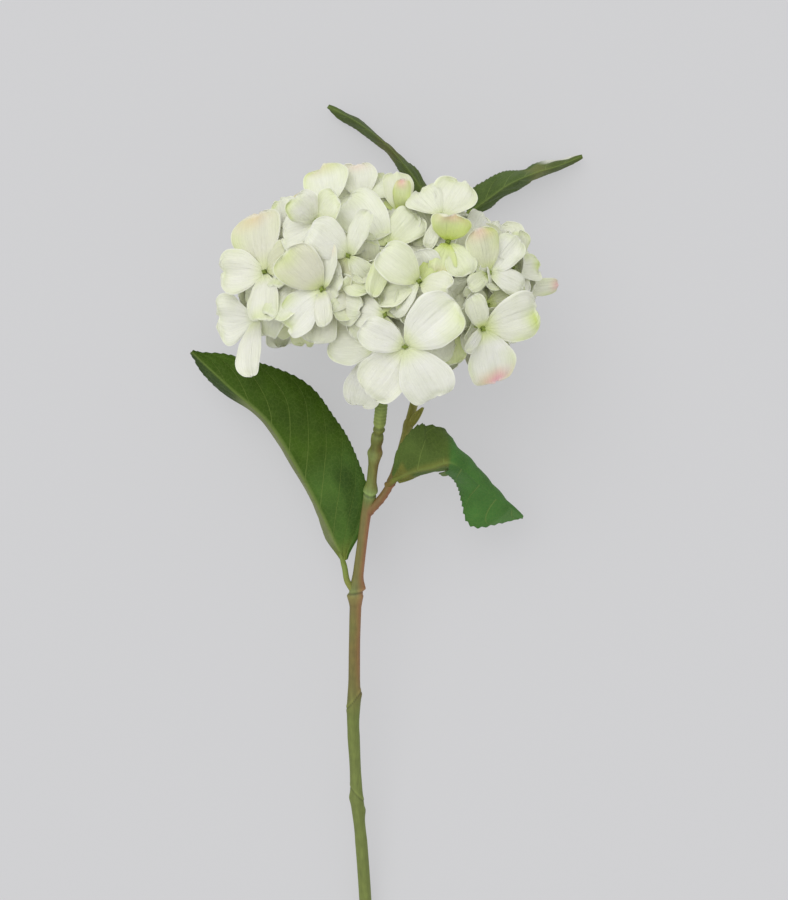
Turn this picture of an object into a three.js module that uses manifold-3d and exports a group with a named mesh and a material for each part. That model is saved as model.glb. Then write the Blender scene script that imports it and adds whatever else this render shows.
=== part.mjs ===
// Cut hydrangea lying on its back: a woody stem with a side shoot, four toothed leaves and one round head
// of four-petalled florets. Millimetres, +Z up. The stem runs along Y with its cut end at the low end, and
// the surface that the flower lies on is the plane z = 0.

import * as THREE from 'three';
import { mergeVertices } from 'three/addons/utils/BufferGeometryUtils.js';
import Module from 'manifold-3d';

const wasm = await Module();
wasm.setup();

// Driving dimensions
const GAP = 0.3; // clearance between neighbouring pieces
const PETAL_LENGTH = 28.5;
const PETAL_HALF_WIDTH = 12.8;
const PETAL_THICKNESS = 0.8;
const PETAL_STEP = 0.6; // how far every second petal of a floret stands above the others
const PETAL_OUTLINE = [0.8, 0.42]; // powers that round a petal's foot and tip
const PETAL_FOOT = 0.05; // share of its length from the middle of the floret to its foot
const PETAL_TILT = 0.1; // radians by which a petal starts steeper than its floret's list says
const PETAL_WAVE = 0.035; // height of the wave in its edge, as a share of its length
const TURN_SPREAD = 0.1; // radians by which petals stray from their quarters
const LENGTH_SPREAD = [0.95, 0.1]; // least share of the length, and how much more there may be
const TIP_BEND_SPREAD = [0.25, 0.35]; // likewise, radians by which a tip bends down
const CUP_SPREAD = [-0.018, 0.06]; // likewise, rise of the edges as a share of the half width
const TWIST_SPREAD = [-0.125, 0.25]; // likewise, radians at the tip
const PETAL_STATIONS = [0.03, 0.33, 0.68, 0.97]; // rows of a petal, from foot to tip
const CLAW_END = 0.5; // up to here along a petal it stays in its own quarter of the floret
const CLAW_SHARE = 0.78; // of the quarter's half width
const BENDS = [0, -8, 8, -16, 16, -24, 24]; // degrees by which a petal may bend clear of others
const PEDICEL_RADIUS = 1.6; // the thin stalk behind a floret
const PEDICEL_SIDES = 3;
const PEDICEL_START = 0.3; // share of the way from the middle of the head to the floret, inside the core
const EYE_HEIGHT = 1.6; // of its end, the knob at the middle of a floret, above the petals
const LEAF_THICKNESS = 0.8;
const MIDRIB_THICKNESS = 2.2; // of a leaf at the foot of its midrib
const LEAF_ENDS = 0.012; // share of the midrib left out at each end, where the blade ends bluntly
const TOOTH_DEPTH = 0.07; // share of the half width between teeth
const TOOTH_LEAN = 0.3; // share of the pitch that a tooth leans forward
const WAVE_TURN = 14; // radians that the wave of a leaf's margin turns from foot to tip
const STALK_SIDES = 6;
const STALK_RADII = [1.7, 1.4]; // of a leaf's stalk, from its foot to the blade
const STEM_RADIUS = 3;
const NECK_RADIUS = 2.7; // the stem above its lowest leaf
const SHOOT_RADIUS = 2;
const STEM_TAPER = [-35, -20]; // y from which and up to which the stem thins
const STEM_SIDES = 10;
const STEM_STEP = 12; // along y between its rings
const SHOOT_SIDES = 8;
const SHOOT_STEP = 8;
const HEAD_CENTRE = [0, 113, 58];
const HEAD_RADII = [60, 40, 44]; // to the centres of the florets
const CORE_RADII = [34, 22, 26]; // the dense middle that the stalks grow from
const CORE_SIDES = [12, 8];
const STEM_TOP = 60.4; // y where the stem ends and the head begins
const TABLE_SIZE = [600, 600, 30]; // of the block that trims what would reach below the surface
const WELD = 1e-5; // corners nearer to each other than this are one

// Colours
const PETAL_WHITE = 0xe3e6d6;
const STEM_GREEN = 0x747c40;
const LEAF_GREEN = 0x4a6a2c;
const LEAF_BACK_GREEN = 0x55673a;

// The middle line of the stem and of the side shoot, as x, y, z
const STEM_LINE = [
  [-8.7, -206.8, 3.2], [-9.6, -182.8, 8], [-12, -153, 13], [-13.9, -133.3, 16.5], [-14.9, -113.6, 20],
  [-15.8, -93.9, 23.5], [-15.3, -84.2, 25], [-14.8, -55, 29.5], [-14.2, -35.6, 32.5], [-13.7, -29.8, 33.5],
  [-11.3, -11.4, 36.5], [-8.9, 7.8, 39], [-7.5, 15, 40.5], [-6.5, 27, 42.5], [-4.6, 41.4, 45],
  [-3.6, 46.1, 46], [-2.2, STEM_TOP, 48],
];
const SHOOT_LINE = [
  [-8.6, 6.5, 39], [-1.5, 14.2, 41], [3, 22, 39.4], [6.9, 34.2, 34], [9.3, 42.8, 29], [14.2, 61.3, 20],
  [19.1, 85.2, 12], [25, 109.7, 8], [29.9, 126.8, 7], [33.8, 141.4, 7.5],
];

// Swellings at the nodes of the stem: where along y, how high and how long each way
const STEM_NODES = [
  { y: -133.5, height: 0.9, half: 4 }, { y: -84, height: 1.1, half: 4 }, { y: -31, height: 1.2, half: 4.5 },
  { y: 14, height: 1.1, half: 5 }, { y: 34.5, height: 0.7, half: 3 }, { y: 42.5, height: 0.7, half: 2 },
];
const SHOOT_NODES = [
  { y: 23.5, height: 0.6, half: 2.5 }, { y: 49, height: 0.6, half: 2.5 }, { y: 139, height: 0.8, half: 3 },
];
const RIBS = { from: 47, to: 59.6, count: 6, height: 0.35 }; // fine rings under the head
const NECK_LINE = [[-2.2, STEM_TOP, 48], [-1, 78, 52], [0, 113, 58]]; // from the stem's top into the head
const NECK_RADII = [3.2, 4, 5];

// The small pointed bract on the side shoot, as rows of points from its foot to its tip
const BRACT = [
  [[10.6, 49, 28], [12, 48.6, 28], [13.4, 48, 28]], [[12.8, 53, 27.6], [14.6, 52.6, 26.6], [16.2, 52, 27.2]],
  [[17.6, 57, 28.4], [18, 57, 28.2], [18.4, 57, 28.4]],
];
const BRACT_THICKNESS = 1;

// Each leaf: its stalk from the stem to the foot of the blade, its midrib, and for its left and right half,
// at even stations along the midrib, how wide the half is and the degrees at which it leaves the horizontal.
const LEAVES = {
  leaf_left: {
    stalk: [[-15.2, -31.2, 33.6], [-18.4, -26.5, 34], [-19.8, -19.5, 34.3], [-21.8, -13, 34.8]],
    midrib: [[-20, -17.2, 34.5], [-28.2, 0.5, 35], [-39.6, 22.2, 33], [-57.3, 50.2, 29], [-75.2, 66.5, 26],
      [-94.2, 84.4, 24]],
    leftWidth: [2, 12, 18, 22, 24, 25, 24, 20, 15, 9, 1],
    leftAngle: [-60, -60, -72, -78, -76, -76, -76, -74, -61, -46, -30],
    rightWidth: [2, 17.5, 25.5, 28, 29.3, 28.5, 27.8, 23, 18, 11, 1],
    rightAngle: [25, 22, 18, 16, 14, 14, 10, 8, 4, 0, -6],
    teeth: 15, curl: -28, wave: 0.03, colour: LEAF_GREEN,
  },
  leaf_right: {
    stalk: [[0.8, 19.6, 40.4], [2.6, 21, 42.4], [4.5, 22.5, 44.2], [8.5, 24.2, 47]],
    midrib: [[4.5, 22.5, 44], [13, 26, 50], [22, 28, 54], [31, 30.3, 56], [46, 19, 46], [57, 10, 34],
      [66.5, 4, 22]],
    leftWidth: [3.5, 13.2, 21.5, 22.5, 22.5, 23, 22.5, 21, 18, 12, 1.5],
    leftAngle: [20, 19, 12, -15, -61, -63, -65, -68, -70, -70, -70],
    rightWidth: [3.5, 9, 13, 16, 17, 18, 18, 18, 18.5, 9.5, 1],
    rightAngle: [-40, -65, -78, -54, -54, -61, -58, -41, -21, -20, -20],
    teeth: 13, curl: -14, wave: 0.03, colour: LEAF_GREEN,
  },
  leaf_back_left: {
    stalk: [[32, 139.5, 7.6], [30.6, 145, 7.8], [27.8, 151, 8.6], [24, 157, 10.5], [20.8, 160.3, 12.2]],
    midrib: [[24, 157, 10.5], [17.2, 164, 14], [9.5, 174.3, 18], [-1, 185.7, 18.2], [-13.5, 195.7, 13.5],
      [-28.5, 204.5, 6]],
    leftWidth: [3, 8, 11, 13, 14, 14.5, 14, 13, 11, 8, 1],
    leftAngle: [-45, -48, -66, -72, -78, -80, -77, -75, -73, -66, -50],
    rightWidth: [3, 8, 11, 13, 14, 14.5, 14, 13, 11, 8, 1],
    rightAngle: [-45, -62, -64, -75, -79, -81, -84, -81, -74, -76, -50],
    teeth: 11, curl: -6, wave: 0.04, colour: LEAF_BACK_GREEN,
  },
  leaf_back_right: {
    stalk: [[36, 139, 7.5], [36.8, 143.6, 7.6], [38, 147.8, 8.3], [40, 151.5, 9.5], [43, 153.6, 11.6]],
    midrib: [[40, 151.5, 9.5], [46.8, 156.2, 14], [60, 165.3, 19.5], [72.5, 170.8, 18.5],
      [84.4, 174.8, 12.5], [96.2, 180.1, 6]],
    leftWidth: [3, 10.5, 13, 15, 16, 16, 15, 13.5, 11, 7.5, 1],
    leftAngle: [-30, -29, -44, -54, -60, -67, -71, -64, -59, -65, -45],
    rightWidth: [3, 10.5, 13, 15, 16, 16, 15, 13.5, 11, 7.5, 1],
    rightAngle: [-60, -67, -74, -73, -73, -75, -77, -79, -80, -78, -55],
    teeth: 12, curl: -6, wave: 0.04, colour: LEAF_BACK_GREEN,
  },
};

// The florets that show: centre, the x and y of the way each faces, turn of its first petal in degrees,
// size, how far its four petals rise in degrees, and petals of their own shape (turn, length, width).
const FRONT_FLORETS = [
  { at: [9, 84, 112], faces: [0.02, -0.08], turn: 45, size: 0.97, rise: [10, 38, 6, 6] },
  { at: [-29, 112, 99], faces: [-0.42, -0.02], turn: 46, size: 0.95, rise: [50, 22, 26, 52] },
  { at: [-56, 119, 80], faces: [-0.6, 0.02], turn: 4, size: 0.98, rise: [5, 14, 4, 16] },
  { at: [-61, 99, 66], faces: [-0.6, -0.34], turn: 4, size: 0.95, rise: [0, 10, -4, 0],
    own: { 3: [-12, 1, 0.5] } },
  { at: [-14, 126, 103], faces: [-0.22, 0.25], turn: 52, size: 0.92, rise: [50, 34, 48, 50],
    own: { 0: [0, 1, 0.8] } },
  { at: [1, 130, 104], faces: [0, 0.25], turn: 46, size: 0.95, rise: [48, 16, 20, 22] },
  { at: [-33, 141, 90], faces: [-0.42, 0.45], turn: 40, size: 0.8, rise: [50, 30, 30, 10] },
  { at: [-44, 141, 70], faces: [-0.62, 0.58], turn: 45, size: 0.85, rise: [10, 5, 5, 5] },
  { at: [-26, 149, 80], faces: [-0.28, 0.62], turn: 5, size: 1, rise: [5, 2, 5, 5] },
  { at: [-11, 154, 78], faces: [-0.05, 0.72], turn: 0, size: 0.92, rise: [15, 6, 15, 5] },
  { at: [7, 148, 82], faces: [0, 0.74], turn: 6, size: 0.84, rise: [24, 26, 15, 5],
    own: { 0: [0, 0.8, 0.7], 1: [0, 1, 0.5] } },
  { at: [26, 146, 90], faces: [0.12, 0.55], turn: 38, size: 0.92, rise: [6, 50, 40, 10],
    own: { 1: [0, 0.8, 0.8] } },
  { at: [29, 132, 94], faces: [0.1, 0.25], turn: 70, size: 0.75, rise: [36, 50, 42, 40] },
  { at: [16, 114, 106], faces: [0, 0.48], turn: 45, size: 0.8, rise: [0, 24, 24, 24],
    own: { 1: [0, 1.1, 1] } },
  { at: [0, 99, 102], faces: [-0.1, 0], turn: 52, size: 0.95, rise: [26, 24, 20, 0] },
  { at: [45, 93, 95], faces: [0.36, -0.2], turn: 28, size: 1, rise: [10, 55, 45, 6] },
  { at: [47, 104, 86], faces: [0.45, 0], turn: 60, size: 0.9, rise: [10, 30, 20, 0] },
  { at: [49, 119, 90], faces: [0.35, 0.25], turn: 20, size: 0.85, rise: [30, 45, 45, 40] },
  { at: [59, 122, 72], faces: [0.72, 0.22], turn: 10, size: 0.92, rise: [0, 0, 20, 10],
    own: { 3: [0, 0.8, 0.8] } },
  { at: [64, 113, 52], faces: [0.62, -0.6], turn: 2, size: 1, rise: [-4, 20, 10, 0],
    own: { 0: [0, 1.2, 0.62], 1: [6, 0.7, 0.7] } },
  { at: [-2, 87, 94], faces: [-0.28, -0.3], turn: 0, size: 0.98, rise: [0, 0, 12, 0] },
  { at: [-24, 98, 82], faces: [-0.3, -0.6], turn: 60, size: 0.8, rise: [10, 10, 10, 10] },
  { at: [-42, 100, 62], faces: [-0.3, -0.78], turn: 40, size: 0.85, rise: [10, 10, 10, 10] },
  { at: [28, 94, 80], faces: [0.2, -0.62], turn: 20, size: 0.9, rise: [0, 10, 10, 0] },
  { at: [-5, 82, 66], faces: [-0.1, -0.55], turn: 70, size: 0.95, rise: [0, 0, 0, 0] },
  { at: [40, 136, 80], faces: [0.45, 0.62], turn: 35, size: 0.9, rise: [0, 10, 10, 0] },
];

// The florets that lie pressed flat on the surface, three of them round the weight of the head
const RESTING_FLORETS = [
  { at: [-40, 114], turn: 40, size: 0.95 }, { at: [50, 113], turn: 45, size: 0.9 },
  { at: [-10, 138], turn: 50, size: 0.95 },
];
const FLAT_FORM = { startSlope: 0, endSlope: 1e-3, cup: 0, twist: 0, wave: 0, phase: 0 };
const RESTING_PETAL_THICKNESS = 1.1;
const RESTING_TRIM = 0.15; // of that, pressed flat by the surface

// The florets behind, by the golden angle round the axis of the head
const BEHIND_COUNT = 44;
const BEHIND_TOP = 0.95; // height of the first one on the unit sphere
const BEHIND_SPAN = 1.5; // how far down the sphere they go
const BEHIND_DEPTH = 0.12; // they are kept below this height above the middle of the head
const BEHIND_SPACING = 24.5; // least distance between the centres of two florets
const BEHIND_SIZE = [0.85, 0.12];
const BEHIND_RISE = [4, 22]; // degrees
const BEHIND_LOWEST = 84; // y below which their petals don't hang
const CLEARANCE = 4.5; // a petal that comes this near to a leaf or to the side shoot bends clear of it
const ABOVE_SURFACE = 1; // least height of a petal that doesn't lie flat
const GOLDEN_ANGLE = Math.PI * (3 - Math.sqrt(5));

// A repeatable number from 0 to 1 for each whole number
function noise(index) {
  const value = Math.sin(index * 12.9898) * 43758.5453;
  return value - Math.floor(value);
}

// A repeatable number from the first one up to so much more
function spread([least, range], index) {
  return least + range * noise(index);
}

function radians(degrees) {
  return degrees * Math.PI / 180;
}

function vector(numbers) {
  return new THREE.Vector3(...numbers);
}

function geometryFrom(points, triangles) {
  const geometry = new THREE.BufferGeometry();
  geometry.setAttribute('position', new THREE.Float32BufferAttribute(points.flatMap((p) => p.toArray()), 3));
  geometry.setIndex(triangles.flat());
  return geometry;
}

function solidFrom(geometry) {
  geometry.deleteAttribute('normal');
  geometry.deleteAttribute('uv');
  const merged = mergeVertices(geometry, 10 * WELD);
  const vertProperties = Float32Array.from(merged.attributes.position.array);
  const triVerts = Uint32Array.from(merged.index.array);
  return new wasm.Manifold(new wasm.Mesh({ numProp: 3, vertProperties, triVerts }));
}

function joined(solids) {
  return solids.reduce((all, solid) => all.add(solid));
}

// The outer skin of a solid: sealed hollows are filled and loose scraps are dropped, by keeping only the
// connected shell with the largest volume.
function outerSkin(solid) {
  const mesh = solid.getMesh();
  const parent = Int32Array.from({ length: mesh.numVert }, (_, i) => i);
  const root = (i) => {
    while (parent[i] !== i) {
      parent[i] = parent[parent[i]];
      i = parent[i];
    }
    return i;
  };
  for (let t = 0; t < mesh.triVerts.length; t += 3) {
    parent[root(mesh.triVerts[t + 1])] = root(mesh.triVerts[t]);
    parent[root(mesh.triVerts[t + 2])] = root(mesh.triVerts[t]);
  }
  const corner = (i) => new THREE.Vector3().fromArray(mesh.vertProperties, i * 3);
  const shells = new Map();
  for (let t = 0; t < mesh.triVerts.length; t += 3) {
    const [a, b, c] = mesh.triVerts.slice(t, t + 3);
    const shell = shells.get(root(a)) ?? { volume: 0, triangles: [] };
    shell.volume += corner(a).dot(corner(b).cross(corner(c))) / 6;
    shell.triangles.push(a, b, c);
    shells.set(root(a), shell);
  }
  const largest = [...shells.values()].reduce((best, shell) => (shell.volume > best.volume ? shell : best));
  const geometry = new THREE.BufferGeometry();
  geometry.setAttribute('position', new THREE.Float32BufferAttribute(mesh.vertProperties, 3));
  geometry.setIndex(largest.triangles);
  return mergeVertices(geometry.toNonIndexed(), WELD);
}

// Triangles of a grid of points, numbered row by row
function gridFaces(rows, cols) {
  const faces = [];
  for (let r = 0; r < rows - 1; r += 1) {
    for (let c = 0; c < cols - 1; c += 1) {
      const corner = r * cols + c;
      faces.push([corner, corner + cols, corner + cols + 1], [corner, corner + cols + 1, corner + 1]);
    }
  }
  return faces;
}

// A closed blade round an open sheet of points and triangles: the sheet is raised and lowered by half of
// each point's thickness along its own normals, so both faces are split alike, and a rim closes its edge.
function blade(points, faces, thicknessAt) {
  const normals = points.map(() => new THREE.Vector3());
  const edges = new Set();
  for (const [a, b, c] of faces) {
    const normal = points[b].clone().sub(points[a]).cross(points[c].clone().sub(points[a]));
    [a, b, c].forEach((i) => normals[i].add(normal));
    [[a, b], [b, c], [c, a]].forEach((edge) => edges.add(edge.join()));
  }
  normals.forEach((normal) => normal.normalize());
  const shifted = (side) => points.map((point, i) => (
    point.clone().addScaledVector(normals[i], side * thicknessAt(i) / 2)));
  const under = (i) => points.length + i;
  const triangles = faces.flatMap(([a, b, c]) => [[a, b, c], [under(a), under(c), under(b)]]);
  for (const edge of edges) {
    const [a, b] = edge.split(',').map(Number);
    if (!edges.has([b, a].join())) triangles.push([a, under(a), under(b)], [a, under(b), b]);
  }
  return geometryFrom([...shifted(1), ...shifted(-1)], triangles);
}

function gridBlade(grid, thickness) {
  return blade(grid.flat(), gridFaces(grid.length, grid[0].length), () => thickness);
}

// A closed round rod through points, with a radius at each and flat ends
function rod(points, radii, sides) {
  const corners = [];
  points.forEach((point, i) => {
    const ahead = points[Math.min(i + 1, points.length - 1)].clone().sub(points[Math.max(i - 1, 0)]);
    const across = ahead.clone().cross(new THREE.Vector3(0, 0, 1)).normalize();
    const above = across.clone().cross(ahead).normalize();
    for (let k = 0; k < sides; k += 1) {
      const angle = 2 * Math.PI * (k + 0.5) / sides;
      corners.push(point.clone().addScaledVector(across, radii[i] * Math.cos(angle))
        .addScaledVector(above, radii[i] * Math.sin(angle)));
    }
  });
  const triangles = [];
  const last = (points.length - 1) * sides;
  for (let k = 0; k < sides; k += 1) {
    const next = (k + 1) % sides;
    for (let i = 0; i < points.length - 1; i += 1) {
      const a = i * sides;
      triangles.push([a + k, a + sides + next, a + next], [a + k, a + sides + k, a + sides + next]);
    }
    if (k > 0 && k < sides - 1) {
      triangles.push([0, k, k + 1], [last, last + k + 1, last + k]);
    }
  }
  return geometryFrom(corners, triangles);
}

// Points of a line of stations, carried smoothly from one y to another
function lineThrough(line) {
  const values = line.flatMap(([x, , z]) => [x, z]);
  const curve = new THREE.CubicInterpolant(line.map((p) => p[1]), values, 2);
  return (y) => {
    const [x, z] = curve.evaluate(y);
    return new THREE.Vector3(x, y, z);
  };
}

function swelling(nodes, y) {
  const rises = nodes.map((node) => node.height * Math.max(0, 1 - Math.abs(y - node.y) / node.half));
  return rises.reduce((sum, rise) => sum + rise);
}

// Places along y for the rings of a stem: even steps, and the foot and top of each swelling
function stations(from, to, step, nodes, extra = []) {
  const places = [from, to, ...extra, ...nodes.flatMap((n) => [n.y - n.half, n.y, n.y + n.half])];
  for (let y = from + step; y < to - step / 2; y += step) {
    if (places.every((place) => Math.abs(place - y) > step / 3)) places.push(y);
  }
  return places.filter((y) => y >= from && y <= to).sort((a, b) => a - b);
}

function ribPlaces() {
  const pitch = (RIBS.to - RIBS.from) / (2 * RIBS.count);
  return Array.from({ length: 2 * RIBS.count + 1 }, (_, i) => RIBS.from + i * pitch);
}

function stemRadius(y) {
  const taper = THREE.MathUtils.smoothstep(y, ...STEM_TAPER);
  const ribs = ribPlaces();
  const rib = ribs.findIndex((place) => Math.abs(place - y) < 1e-6);
  return STEM_RADIUS + (NECK_RADIUS - STEM_RADIUS) * taper + swelling(STEM_NODES, y)
    + (rib % 2 === 1 ? RIBS.height : 0);
}

function shootRadius(y) {
  return SHOOT_RADIUS + swelling(SHOOT_NODES, y);
}

// The stem and its side shoot with the small pointed bract on it, grown as one piece. A margin makes it
// that much fatter, for cutting its seat in a neighbour.
function stemSolid(margin = 0) {
  const stemLine = lineThrough(STEM_LINE);
  const shootLine = lineThrough(SHOOT_LINE);
  const stemYs = stations(STEM_LINE[0][1], STEM_TOP + margin, STEM_STEP, STEM_NODES, ribPlaces());
  const shootYs = stations(SHOOT_LINE[0][1], SHOOT_LINE.at(-1)[1] + margin, SHOOT_STEP, SHOOT_NODES);
  const stem = rod(stemYs.map(stemLine), stemYs.map((y) => stemRadius(y) + margin), STEM_SIDES);
  const shoot = rod(shootYs.map(shootLine), shootYs.map((y) => shootRadius(y) + margin), SHOOT_SIDES);
  const bract = gridBlade(BRACT.map((row) => row.map(vector)), BRACT_THICKNESS + 2 * margin);
  return joined([stem, shoot, bract].map(solidFrom)).subtract(table());
}

// The block under the surface, which trims a small flat spot where a piece rests
function table() {
  const block = new THREE.BoxGeometry(...TABLE_SIZE);
  block.translate(0, 0, -TABLE_SIZE[2] / 2);
  return solidFrom(block);
}

// A value at t from 0 to 1 along a list of evenly spaced ones: between two of them it is a cubic whose end
// slopes come from their neighbours.
function between(values, t) {
  const place = t * (values.length - 1);
  const k = Math.min(Math.floor(place), values.length - 2);
  const u = place - k;
  const [from, to] = [values[k], values[k + 1]];
  const leave = (to - values[Math.max(k - 1, 0)]) / 2;
  const arrive = (values[Math.min(k + 2, values.length - 1)] - from) / 2;
  const eased = u * u * (3 - 2 * u);
  return from + (to - from) * eased + leave * u * (1 - u) ** 2 - arrive * (1 - u) * u ** 2;
}

// Half width of a petal at t from its foot to its tip, as a share of the widest
function outline(t, [foot, tip]) {
  const widest = foot / (foot + tip);
  return (t / widest) ** foot * ((1 - t) / (1 - widest)) ** tip;
}

// The surface of a leaf: from the midrib each half leaves the horizontal at its own angle and curls on
// steadily to the edge, where every second row is drawn in for the teeth and a low wave lifts the margin.
function leafGrid(leaf) {
  const midrib = new THREE.CatmullRomCurve3(leaf.midrib.map(vector));
  const rows = 2 * leaf.teeth + 1;
  const pitch = midrib.getLength() / leaf.teeth;
  const grid = [];
  for (let r = 0; r < rows; r += 1) {
    const t = LEAF_ENDS + (1 - 2 * LEAF_ENDS) * r / (rows - 1);
    const tooth = r % 2;
    const foot = midrib.getPointAt(t);
    const ahead = midrib.getTangentAt(t);
    const across = ahead.clone().cross(new THREE.Vector3(0, 0, 1)).normalize();
    const above = across.clone().cross(ahead).normalize();
    const row = [-1, -0.5, 0, 0.5, 1].map((v) => {
      const start = radians(between(v < 0 ? leaf.leftAngle : leaf.rightAngle, t));
      const width = between(v < 0 ? leaf.leftWidth : leaf.rightWidth, t);
      const curl = radians(leaf.curl);
      const edge = Math.abs(v) === 1 ? 1 : 0;
      const reach = width * (1 - TOOTH_DEPTH * edge * (1 - tooth));
      const turned = start + curl * Math.abs(v);
      const out = Math.sign(v) * reach * (Math.sin(turned) - Math.sin(start)) / curl;
      const lift = reach * (Math.cos(start) - Math.cos(turned)) / curl
        + leaf.wave * reach * v * v * Math.sin(WAVE_TURN * t + 2 * v);
      const lean = TOOTH_LEAN * pitch * (1 - t) * edge * tooth;
      return foot.clone().addScaledVector(across, out).addScaledVector(above, lift)
        .addScaledVector(ahead, lean);
    });
    grid.push(row);
  }
  return grid;
}

// One leaf: the blade, thick along its midrib and thinning to the tip, fused with its stalk
function leafSolid(leaf, seat) {
  const grid = leafGrid(leaf);
  const cols = grid[0].length;
  const thicknessAt = (i) => {
    const t = Math.floor(i / cols) / (grid.length - 1);
    const onMidrib = i % cols === (cols - 1) / 2;
    return THREE.MathUtils.lerp(onMidrib ? MIDRIB_THICKNESS : LEAF_THICKNESS, LEAF_THICKNESS, t);
  };
  const stalk = leaf.stalk.map(vector);
  const radii = stalk.map((_, i) => THREE.MathUtils.lerp(...STALK_RADII, i / (stalk.length - 1)));
  const sheet = blade(grid.flat(), gridFaces(grid.length, cols), thicknessAt);
  return joined([sheet, rod(stalk, radii, STALK_SIDES)].map(solidFrom)).subtract(seat).subtract(table());
}

// The surface of a petal in its own frame, x along it, y across and z up: a rounded outline that is
// narrow at the foot, bent lengthwise from one slope to another, cupped across, twisted and waved.
function petalGrid(shape) {
  return PETAL_STATIONS.map((s) => {
    const bend = shape.endSlope - shape.startSlope;
    const slope = shape.startSlope + bend * s;
    const out = shape.length * (Math.sin(slope) - Math.sin(shape.startSlope)) / bend;
    const ahead = PETAL_FOOT * shape.length + out;
    const full = shape.halfWidth * outline(s, PETAL_OUTLINE);
    const half = s < CLAW_END ? Math.min(full, CLAW_SHARE * ahead) : full;
    const up = -shape.length * (Math.cos(slope) - Math.cos(shape.startSlope)) / bend;
    return [-1, 0, 1].map((v) => {
      const side = v * half;
      const lift = shape.cup * v * v * half + side * Math.sin(shape.twist) * s
        + shape.wave * shape.length * s * s * Math.sin(3 * v + shape.phase + 2 * s);
      return new THREE.Vector3(ahead - Math.sin(slope) * lift,
        side * (1 - (1 - Math.cos(shape.twist)) * s), up + Math.cos(slope) * lift);
    });
  });
}

// Right and up in the plane of a floret, with up as near to +Y as it can be
function floretFrame(normal) {
  const axis = normal.clone().normalize();
  const hint = Math.abs(axis.y) > 0.97 ? new THREE.Vector3(0, 0, 1) : new THREE.Vector3(0, 1, 0);
  const right = hint.cross(axis).normalize();
  return new THREE.Matrix4().makeBasis(right, axis.clone().cross(right), axis);
}

// One petal of a floret, in place, bent up by so many degrees more than the floret's list says
function petalOf(floret, k, bend) {
  const seed = floret.index * 7 + k * 3;
  const [ownTurn, ownLength, ownWidth] = floret.own?.[k] ?? [0, 1, 1];
  const turn = radians(floret.turn + ownTurn + 90 * k) + (noise(seed) - 0.5) * TURN_SPREAD;
  const rise = radians(floret.rise[k] + bend);
  const shape = floret.flat ? { ...FLAT_FORM } : {
    startSlope: rise + PETAL_TILT, endSlope: rise - spread(TIP_BEND_SPREAD, seed + 1),
    cup: spread(CUP_SPREAD, seed + 3), twist: spread(TWIST_SPREAD, seed + 4), wave: PETAL_WAVE,
    phase: 2 * Math.PI * noise(seed + 5),
  };
  shape.length = PETAL_LENGTH * floret.size * ownLength * spread(LENGTH_SPREAD, seed + 2);
  shape.halfWidth = PETAL_HALF_WIDTH * floret.size * ownWidth;
  const step = floret.flat ? 0 : PETAL_STEP * (k % 2);
  const place = new THREE.Matrix4().makeRotationZ(turn).setPosition(0, 0, step);
  place.premultiply(floretFrame(floret.normal).setPosition(floret.centre));
  return petalGrid(shape).map((row) => row.map((p) => p.applyMatrix4(place)));
}

// Petals are set one floret after another. One that would cut through petals already set bends clear of
// them, if it can, and otherwise it is left off. So is one that would touch a leaf or a stem, or hang lower
// than its floret allows.
function setPetals(floret, solidsSet, keepOff) {
  const own = [];
  floret.petals = [0, 1, 2, 3].map((k) => {
    for (const bend of floret.flat ? [0] : BENDS) {
      const grid = petalOf(floret, k, bend);
      const solid = solidFrom(gridBlade(grid.slice(1), PETAL_THICKNESS));
      const clear = floret.flat || grid.flat().every((p) => p.z > ABOVE_SURFACE && p.y > floret.lowest
        && keepOff.every((other) => p.distanceTo(other) > CLEARANCE));
      if (clear && [...solidsSet, ...own].every((other) => solid.intersect(other).isEmpty())) {
        own.push(solid);
        return grid;
      }
    }
    return null;
  });
  solidsSet.push(...own);
}

// A floret as one closed body: its petals share the corners of their feet round the middle point
function floretSolid(floret) {
  const feet = [0, 1, 2, 3].map((k) => (floret.petals[k] ?? petalOf(floret, k, 0))[0]);
  const points = [floret.centre.clone()];
  const faces = [];
  feet.forEach((foot, k) => {
    points.push(foot[2].clone().add(feet[(k + 1) % 4][0]).multiplyScalar(0.5), foot[1]);
  });
  feet.forEach((foot, k) => {
    const [before, middle, after] = [1 + 2 * ((k + 3) % 4), 2 + 2 * k, 1 + 2 * k];
    faces.push([0, before, middle], [0, middle, after]);
    if (floret.petals[k] === null) return;
    const grid = floret.petals[k];
    const numbers = [before, middle, after];
    grid.slice(1).flat().forEach((p) => numbers.push(points.push(p) - 1));
    faces.push(...gridFaces(grid.length, 3).map((face) => face.map((i) => numbers[i])));
  });
  const thickness = floret.flat ? RESTING_PETAL_THICKNESS : PETAL_THICKNESS;
  return solidFrom(blade(points, faces, () => thickness));
}

function frontFlorets() {
  return FRONT_FLORETS.map(({ at, faces, ...rest }) => {
    const [x, y] = faces;
    const normal = new THREE.Vector3(x, y, Math.sqrt(1 - x * x - y * y));
    return { ...rest, centre: vector(at), normal, lowest: -Infinity };
  });
}

function restingFlorets() {
  return RESTING_FLORETS.map(({ at, turn, size }) => ({
    turn, size, flat: true, rise: [0, 0, 0, 0], normal: new THREE.Vector3(0, 0, -1),
    centre: new THREE.Vector3(at[0], at[1], RESTING_PETAL_THICKNESS / 2 - RESTING_TRIM),
  }));
}

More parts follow.
